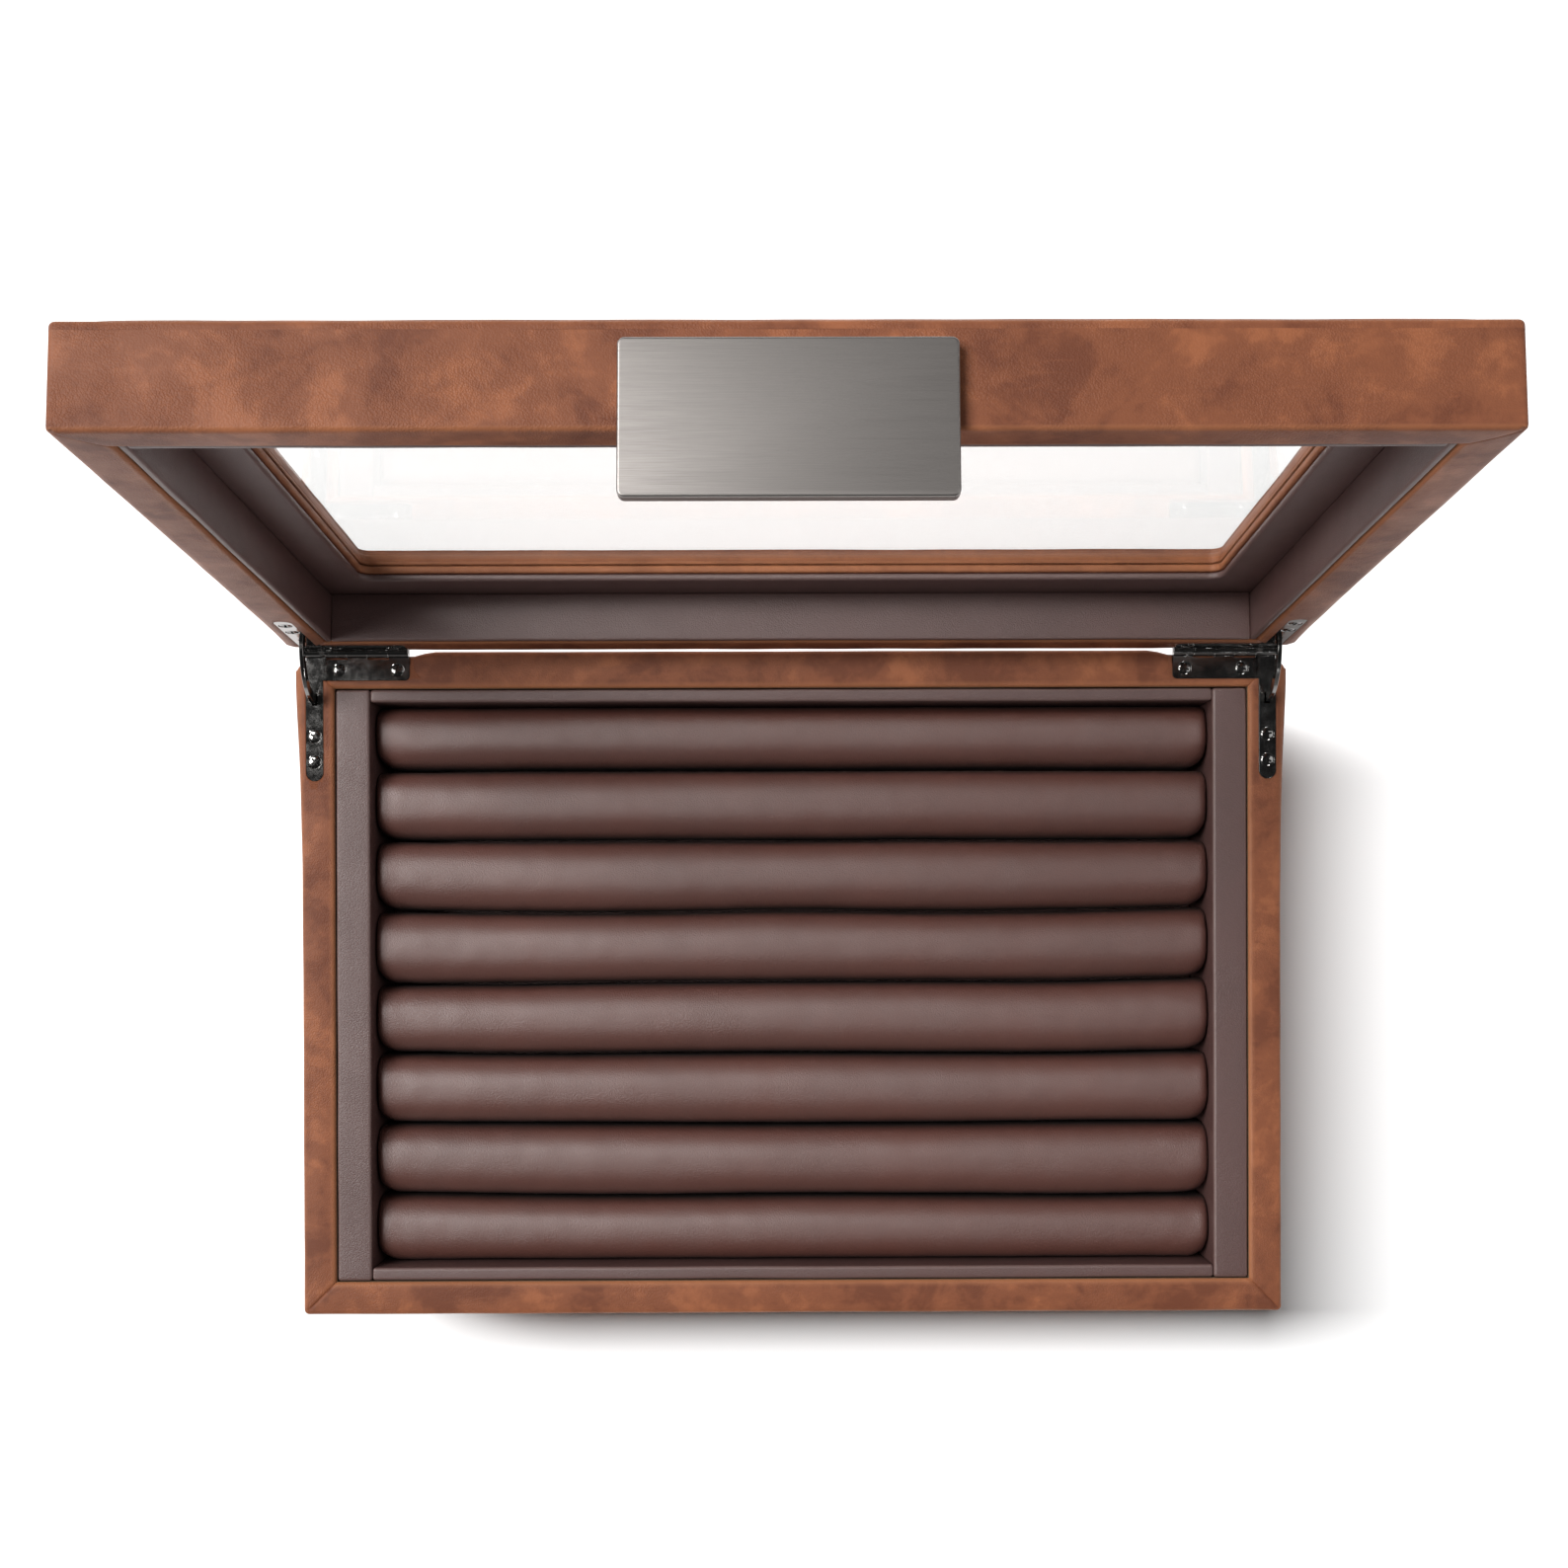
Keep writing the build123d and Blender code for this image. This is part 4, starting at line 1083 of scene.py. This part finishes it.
class CUFFLINKBOX_OT_rolls(Operator):
    """Stuffs the row of leather rolls that hold the cufflinks"""

    bl_idname = "cufflinkbox.rolls"
    bl_label = "Cufflink rolls"

    def execute(self, context):
        looks = finishes()
        sizes = context.scene.cufflink_box_sizes
        count = sizes.roll_count
        pitch = 2 * TRAY_Y / count
        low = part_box("tray_floor_pad")[1].z / MM
        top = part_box("cufflink_roll_1")[1].z / MM
        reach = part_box("cufflink_roll_1")[1].x / MM + 0.4
        seam, end, front_end = 0.75, 2.6, 6.0
        around, along = 44, 150
        for number in range(1, count + 1):
            rng = random.Random(100 + number)
            phase, tilt = rng.uniform(0, 6.28), rng.uniform(-0.1, 0.1)
            stations = []
            for i in range(along + 1):
                t = i / along
                edge = 0.5 - 0.5 * math.cos(math.pi * t)
                stations.append(reach * (0.35 * (2 * t - 1) + 0.65 * (2 * edge - 1)))
            loops, painted_crease_shade = [], []
            for x in stations:
                t = (x + reach) / (2 * reach)
                back, front = TRAY_Y - (number - 1) * pitch, TRAY_Y - number * pitch
                if 1 < number:
                    back += smooth_between(CREASE_DRIFT[(number - 2) % len(CREASE_DRIFT)], t) + 1.5 - 0.42 * (number - 2)
                if number < count:
                    front += smooth_between(CREASE_DRIFT[(number - 1) % len(CREASE_DRIFT)], t) + 1.5 - 0.42 * (number - 1)
                middle, half = (back + front) / 2, (back - front) / 2 - seam / 2
                from_end = reach - abs(x)
                pull = end - math.sqrt(max(0.0, end * end - (end - min(from_end, end)) ** 2))
                tuck = front_end - math.sqrt(max(0.0, front_end**2 - (front_end - min(from_end, front_end)) ** 2))
                crest = top + sizes.roll_swell / MM * math.sin(phase + x / 31.0) + tilt - 0.25
                loop = []
                for k in range(around):
                    a = 2 * math.pi * k / around
                    c, s = math.cos(a), math.sin(a)
                    wide = half - (0.35 * pull if c > 0 else 0.85 * tuck)
                    y = middle + wide * math.copysign(abs(c) ** 0.80, c)
                    spring = crest - 10.6
                    if s >= 0:
                        z = spring + (10.6 - 1.1 * pull) * abs(s) ** 0.82
                    else:
                        z = spring + (low - spring) * min(1.0, abs(s) ** 0.45)
                    p = Vector((x, y, z))
                    if s > -0.2:
                        pucker = math.exp(-from_end / 9.0)
                        p = uneven(p, 0.10 + 0.22 * pucker, 6.0, number * 2.3)
                        p = uneven(p, 0.12, 26.0, number * 1.3)
                    p.z = max(p.z, low)
                    p.x = max(-reach, min(reach, p.x))
                    loop.append(world_place(*p))
                    # Painted shade mask: full on the roll's underside and lower flanks, fading to none at its crest.
                    painted_crease_shade.append(min(1.0, max(0.0, (0.62 - s) / 0.45)))
                loops.append(loop)
            n, m = around, len(loops)
            points = [p for loop in loops for p in loop]
            faces = [(i * n + j, i * n + (j + 1) % n, (i + 1) * n + (j + 1) % n, (i + 1) * n + j) for i in range(m - 1) for j in range(n)]
            faces += [tuple(range(n)), tuple(reversed(range((m - 1) * n, m * n)))]
            name = f"roll_{number}"
            piece = finish_piece(name, points, faces, looks["roll"], "base", (f"cufflink_roll_{number}",), sharp=70,
                                 masks={"painted_crease_shade": painted_crease_shade, "cut": [60.0 + number] * len(points)})
        return {"FINISHED"}


# ---------------------------------------------------------------- hinges and screws


class CUFFLINKBOX_OT_hinges(Operator):
    """Makes the hinge leaves with their barrels, the pins and the two curved stays"""

    bl_idname = "cufflinkbox.hinges"
    bl_label = "Hinges and stays"

    def execute(self, context):
        nickel = finishes()["nickel"]
        edge = context.scene.cufflink_box_sizes.metal_edge
        for side in SIDES:
            refine(f"hinge_base_leaf_{side}", f"base_hinge_leaf_{side}", nickel, "base", edge)
            refine(f"hinge_lid_leaf_{side}", f"lid_hinge_leaf_{side}", nickel, "lid", edge)
            refine(f"lid_stay_{side}", f"curved_stay_{side}", nickel, f"stay_{side}", edge)
        refine("hinge_pins", "hinge_pin_pair", nickel, "base", 0.0)
        return {"FINISHED"}


def screw_tree():
    """Domed cross-head screws set on points, their crosses turned at random."""
    tree = bpy.data.node_groups.new("Cross-head screws", "GeometryNodeTree")
    tree.interface.new_socket("Geometry", in_out="INPUT", socket_type="NodeSocketGeometry")
    for label, value in (("Head radius", 0.002), ("Head height", 0.0005), ("Dome", 0.0002), ("Shank radius", 0.0011), ("Length", 0.008),
                         ("Cross length", 0.0026), ("Cross width", 0.0006), ("Cross depth", 0.0006)):
        socket = tree.interface.new_socket(label, in_out="INPUT", socket_type="NodeSocketFloat")
        socket.default_value = value
    tree.interface.new_socket("Lean", in_out="INPUT", socket_type="NodeSocketVector")
    tree.interface.new_socket("Seed", in_out="INPUT", socket_type="NodeSocketInt").default_value = 4
    tree.interface.new_socket("Finish", in_out="INPUT", socket_type="NodeSocketMaterial")
    tree.interface.new_socket("Geometry", in_out="OUTPUT", socket_type="NodeSocketGeometry")
    w = Wiring(tree)
    given, out = w.add("NodeGroupInput"), w.add("NodeGroupOutput")
    size = {s.name: s for s in given.outputs}

    def shift(shape, z):
        made = w.add("GeometryNodeTransform", Geometry=shape)
        tree.links.new(w.add("ShaderNodeCombineXYZ", Z=z).outputs[0], made.inputs["Translation"])
        return made

    ball = w.add("GeometryNodeMeshUVSphere", Segments=32, Rings=16, Radius=1.0)
    head = w.add("GeometryNodeTransform", Geometry=ball.outputs["Mesh"])
    tree.links.new(w.add("ShaderNodeCombineXYZ", X=size["Head radius"], Y=size["Head radius"], Z=size["Head height"]).outputs[0], head.inputs["Scale"])
    sunk = w.math("SUBTRACT", size["Dome"], size["Head height"])
    raised = shift(head.outputs[0], sunk)
    shank = w.add("GeometryNodeMeshCylinder", {"fill_type": "NGON"}, Vertices=16)
    tree.links.new(size["Shank radius"], shank.inputs["Radius"])
    tree.links.new(size["Length"], shank.inputs["Depth"])
    lower = shift(shank.outputs["Mesh"], w.math("SUBTRACT", sunk, w.math("MULTIPLY", size["Length"], 0.5)))
    cut = w.add("GeometryNodeMeshBoolean", {"operation": "DIFFERENCE", "solver": "EXACT"})
    tree.links.new(raised.outputs[0], cut.inputs[0])
    for x, y in (("Cross length", "Cross width"), ("Cross width", "Cross length")):
        bar = w.add("GeometryNodeMeshCube")
        tree.links.new(w.add("ShaderNodeCombineXYZ", X=size[x], Y=size[y], Z=w.math("MULTIPLY", size["Cross depth"], 2.0)).outputs[0], bar.inputs["Size"])
        tree.links.new(shift(bar.outputs["Mesh"], size["Dome"]).outputs[0], cut.inputs[1])
    body = w.add("GeometryNodeMeshBoolean", {"operation": "UNION", "solver": "EXACT"})
    for part in (cut, lower):
        tree.links.new(part.outputs[0], body.inputs[1])
    turn = w.add("FunctionNodeRandomValue", {"data_type": "FLOAT"})
    turn.inputs["Max"].default_value = 2 * math.pi
    tree.links.new(size["Seed"], turn.inputs["Seed"])
    angle = next(s for s in turn.outputs if s.enabled)
    spin = w.add("ShaderNodeCombineXYZ", Z=angle).outputs[0]
    placed = w.add("GeometryNodeInstanceOnPoints")
    tree.links.new(given.outputs["Geometry"], placed.inputs["Points"])
    tree.links.new(body.outputs[0], placed.inputs["Instance"])
    tree.links.new(size["Lean"], placed.inputs["Rotation"])
    spun = w.add("GeometryNodeRotateInstances")
    tree.links.new(placed.outputs[0], spun.inputs["Instances"])
    tree.links.new(spin, spun.inputs["Rotation"])
    real = w.add("GeometryNodeRealizeInstances", Geometry=spun.outputs[0])
    painted = w.add("GeometryNodeSetMaterial", Geometry=real.outputs[0])
    tree.links.new(size["Finish"], painted.inputs["Material"])
    tree.links.new(painted.outputs[0], out.inputs["Geometry"])
    return tree


def set_screws(name, places, sizes, lean, seed, body, node):
    """One group of screws, made by the tree and turned into a plain mesh."""
    looks = finishes()
    tree = bpy.data.node_groups.get("Cross-head screws") or screw_tree()
    mesh = bpy.data.meshes.new(name)
    mesh.from_pydata([tuple(p) for p in places], [], [])
    piece = bpy.data.objects.new(name, mesh)
    bpy.context.scene.collection.objects.link(piece)
    maker = piece.modifiers.new("screws", "NODES")
    maker.node_group = tree
    given = {s.name: s.identifier for s in tree.interface.items_tree if s.item_type == "SOCKET" and s.in_out == "INPUT"}
    for label, value in {**sizes, "Lean": lean, "Seed": seed, "Finish": looks["nickel"]}.items():
        maker[given[label]] = value
    made = bpy.data.meshes.new_from_object(piece.evaluated_get(bpy.context.evaluated_depsgraph_get()))
    if len(made.polygons) < 50 * len(places):
        raise RuntimeError(f"{name}: the screws were not made")
    piece.modifiers.clear()
    piece.data = made
    return dress(piece, looks["nickel"], body, (node,), 30)


class CUFFLINKBOX_OT_hinge_screws(Operator):
    """Sets the cross-head screws of the hinge leaves"""

    bl_idname = "cufflinkbox.hinge_screws"
    bl_label = "Hinge screws"

    def execute(self, context):
        dome = context.scene.cufflink_box_sizes.screw_dome
        start = LEAF_X - LEAF_LONG
        for body, place, lean, node, seed in (
            ("base", base_place, (0.0, 0.0, 0.0), "hinge_screws_base", 4),
            ("lid", lid_place, (math.pi - LID_OPEN, 0.0, 0.0), "hinge_screws_lid", 9),
        ):
            spots = []
            for s in SIDES.values():
                spots += [place(s * (start + 3.6 + 17.0 * i), LEAF_Y - BACK_ARM / 2, 0.0) for i in range(2)]
                spots += [place(s * STAY_X, LEAF_Y - SIDE_ARM_LONG + 5.6 + 7.6 * i, 0.0) for i in range(2)]
            sizes = {"Head radius": 0.00195, "Head height": 0.00045, "Dome": dome, "Shank radius": 0.0011, "Length": 0.0076,
                     "Cross length": 0.0026, "Cross width": 0.00062, "Cross depth": 0.00048}
            set_screws(f"{body}_leaf_screws", spots, sizes, lean, seed, body, node)
        return {"FINISHED"}


# ---------------------------------------------------------------- drawer


class CUFFLINKBOX_OT_drawer_front(Operator):
    """Makes the leather-covered drawer front"""

    bl_idname = "cufflinkbox.drawer_front"
    bl_label = "Drawer front"

    def execute(self, context):
        looks = finishes()
        low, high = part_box("drawer_front_leather")
        soft_block("drawer_front_wrap", [c / MM for c in low], [c / MM for c in high], 1.1, world_place, looks["tan"], "drawer",
                   ("drawer_front_leather",), (90, 2, 14), 0.08, 70, 51.0)
        return {"FINISHED"}


class CUFFLINKBOX_OT_drawer_box(Operator):
    """Makes the drawer's lined sides, back and floor, its pad, and the linings under it"""

    bl_idname = "cufflinkbox.drawer_box"
    bl_label = "Drawer box and linings"

    def execute(self, context):
        looks = finishes()
        for i, (node, name) in enumerate((("drawer_side_left", "lined_side_left"), ("drawer_side_right", "lined_side_right"), ("drawer_back", "lined_back"), ("drawer_bottom", "lined_bottom"))):
            low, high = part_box(node)
            soft_block(name, [c / MM for c in low], [c / MM for c in high], 0.9, world_place, looks["lining"] if node != "drawer_bottom" else looks["drawer"], "drawer",
                       (node,), (8, 8, 2), 0.0, 0, 52.0 + i)
        low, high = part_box("drawer_floor_pad")
        pad = soft_block("drawer_pad", [c / MM + (0.05 if k < 2 else 0.0) for k, c in enumerate(low)], [c / MM - (0.05 if k < 2 else 0.0) for k, c in enumerate(high)], 0.9,
                         world_place, looks["drawer"], "drawer", ("drawer_floor_pad",), (70, 50, 1), 0.12, 75, 56.0)
        for node, name, finish, slot in (("bottom_suede_sheet", "suede_foot", "suede", "suede"), ("drawer_bay_lining", "bay_floor_lining", "drawer", "drawer_lining")):
            low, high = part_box(node)
            soft_block(name, [c / MM for c in low], [c / MM for c in high], 0.3, world_place, looks[finish], "base", (node,), (40, 30, 1), 0.0, 0, 57.0)
        return {"FINISHED"}


class CUFFLINKBOX_OT_drawer_pull(Operator):
    """Makes the brushed bar pull and the screws that hold it from inside the drawer"""

    bl_idname = "cufflinkbox.drawer_pull"
    bl_label = "Drawer pull"

    def execute(self, context):
        looks = finishes()
        refine("drawer_pull", "bar_pull", looks["gunmetal"], "drawer", 0.0004, sharp=40)
        low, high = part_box("drawer_pull_screws")
        z, y, r = (low.z + high.z) / 2, high.y, (high.z - low.z) / 2
        x = high.x - r
        sizes = {"Head radius": r, "Head height": 0.0016, "Dome": 0.0016, "Shank radius": 0.0015, "Length": high.y - low.y - 0.0016,
                 "Cross length": 0.0034, "Cross width": 0.0008, "Cross depth": 0.0010}
        set_screws("pull_screw_pair", [(-x, y - 0.0016, z), (x, y - 0.0016, z)], sizes, (-math.pi / 2, 0.0, 0.0), 6, "drawer", "drawer_pull_screws")
        return {"FINISHED"}


# ---------------------------------------------------------------- stage


class CUFFLINKBOX_OT_stage(Operator):
    """Sets the pale floor, the soft studio light and the camera above the tray"""

    bl_idname = "cufflinkbox.stage"
    bl_label = "Stage"

    def execute(self, context):
        scene = context.scene
        scene.view_settings.view_transform = "Standard"
        scene.view_settings.look = "None"
        half = 4.0
        mesh = bpy.data.meshes.new("studio_floor")
        mesh.from_pydata([(-half, -half, 0), (half, -half, 0), (half, half, 0), (-half, half, 0)], [], [(0, 1, 2, 3)])
        floor = bpy.data.objects.new("studio_floor", mesh)
        scene.collection.objects.link(floor)
        material, w, shader = new_material("pale_floor")
        set_shader(shader, Base_Color=(0.92, 0.92, 0.92, 1.0), Roughness=0.9, Specular_IOR_Level=0.1)
        mesh.materials.append(material)
        floor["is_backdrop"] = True

        world = bpy.data.worlds.new("studio")
        scene.world = world
        world.use_nodes = True
        backdrop = world.node_tree.nodes["Background"]
        backdrop.inputs["Color"].default_value = (1.0, 0.995, 0.985, 1.0)
        sky = Wiring(world.node_tree)
        height = sky.add("ShaderNodeSeparateXYZ", Vector=sky.add("ShaderNodeTexCoord").outputs["Generated"]).outputs["Z"]
        world.node_tree.links.new(sky.remap(height, 0.05, 0.62, 0.32, 0.035), backdrop.inputs["Strength"])

        def softbox(name, place, size, power, colour=(1, 1, 1)):
            lamp = bpy.data.lights.new(name, "AREA")
            lamp.shape, lamp.size, lamp.size_y = "RECTANGLE", size[0], size[1]
            lamp.energy, lamp.color = power, colour
            held = bpy.data.objects.new(name, lamp)
            held.location = place
            held.rotation_mode = "QUATERNION"
            held.rotation_quaternion = (Vector((0, 0, 0.1)) - Vector(place)).to_track_quat("-Z", "Y")
            scene.collection.objects.link(held)
            return held

        def only(name, objects, state="INCLUDE"):
            """A collection that says which objects a light falls on or is shaded by."""
            group = bpy.data.collections.new(name)
            for thing in objects:
                group.objects.link(thing)
            for entry in group.collection_objects:
                entry.light_linking.link_state = state
            return group

        key = softbox("overhead_softbox", (-2.85, 1.15, 4.4), (3.4, 2.6), 308.0, (1.0, 0.99, 0.975))
        fill = softbox("fill_softbox", (3.2, 0.4, 4.2), (3.0, 3.0), 42.0)
        not_floor = only("all_but_the_floor", [floor], "EXCLUDE")
        for lamp in (key, fill):
            lamp.light_linking.receiver_collection = not_floor
        sweep = softbox("floor_softbox", (-2.5, 1.42, 5.1), (3.4, 1.0), 625.0)
        sweep.rotation_quaternion = (1.0, 0.0, 0.0, 0.0)
        glint = softbox("glint_softbox", (1.5, -2.3, 1.7), (0.8, 0.8), 60.0)
        glint.light_linking.receiver_collection = only("the_nickel", [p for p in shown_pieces() if any(m.material == finishes()["nickel"] for m in p.material_slots)])
        sweep.light_linking.receiver_collection = only("the_floor", [floor])
        sweep.light_linking.blocker_collection = only("what_stands_on_the_floor", [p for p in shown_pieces() if body_of(p)[0] in ("base", "drawer")])

        lens = bpy.data.cameras.new("photo_camera")
        lens.sensor_fit, lens.sensor_width = "HORIZONTAL", 36.0
        lens.lens = 44.92
        lens.shift_x, lens.shift_y = -0.0155, 0.0857
        lens.clip_start, lens.clip_end = 0.01, 50.0
        camera = bpy.data.objects.new("photo_camera", lens)
        camera.location = (0.00113, 0.02167, 0.6747)
        camera.rotation_euler = [math.radians(a) for a in (-0.215, -0.356, -0.188)]
        scene.collection.objects.link(camera)
        scene.camera = camera
        return {"FINISHED"}


# ---------------------------------------------------------------- panel and run

STEPS = (
    CUFFLINKBOX_OT_base_leather,
    CUFFLINKBOX_OT_lid_leather,
    CUFFLINKBOX_OT_lid_top,
    CUFFLINKBOX_OT_lid_linings,
    CUFFLINKBOX_OT_lid_glass_and_boards,
    CUFFLINKBOX_OT_lifting_plate,
    CUFFLINKBOX_OT_tray_linings,
    CUFFLINKBOX_OT_rolls,
    CUFFLINKBOX_OT_hinges,
    CUFFLINKBOX_OT_hinge_screws,
    CUFFLINKBOX_OT_drawer_front,
    CUFFLINKBOX_OT_drawer_box,
    CUFFLINKBOX_OT_drawer_pull,
    CUFFLINKBOX_OT_stage,
)


class CUFFLINKBOX_PT_panel(Panel):
    """Lists the box's settings and the steps that make it"""

    bl_idname = "CUFFLINKBOX_PT_panel"
    bl_label = "Cufflink box"
    bl_space_type = "VIEW_3D"
    bl_region_type = "UI"
    bl_category = "Cufflink box"

    def draw(self, context):
        for group in (context.scene.cufflink_box_sizes, context.scene.cufflink_box_colours):
            for key in group.__annotations__:
                self.layout.prop(group, key)
        for step in STEPS:
            self.layout.operator(step.bl_idname)


CLASSES = (BoxSizes, BoxColours, *STEPS, CUFFLINKBOX_PT_panel)


def register():
    for cls in CLASSES:
        bpy.utils.register_class(cls)
    bpy.types.Scene.cufflink_box_sizes = PointerProperty(type=BoxSizes)
    bpy.types.Scene.cufflink_box_colours = PointerProperty(type=BoxColours)


def unregister():
    del bpy.types.Scene.cufflink_box_colours
    del bpy.types.Scene.cufflink_box_sizes
    for cls in reversed(CLASSES):
        bpy.utils.unregister_class(cls)


def main():
    register()
    for step in STEPS:
        group, name = step.bl_idname.split(".")
        getattr(getattr(bpy.ops, group), name)()


if __name__ == "__main__":
    main()
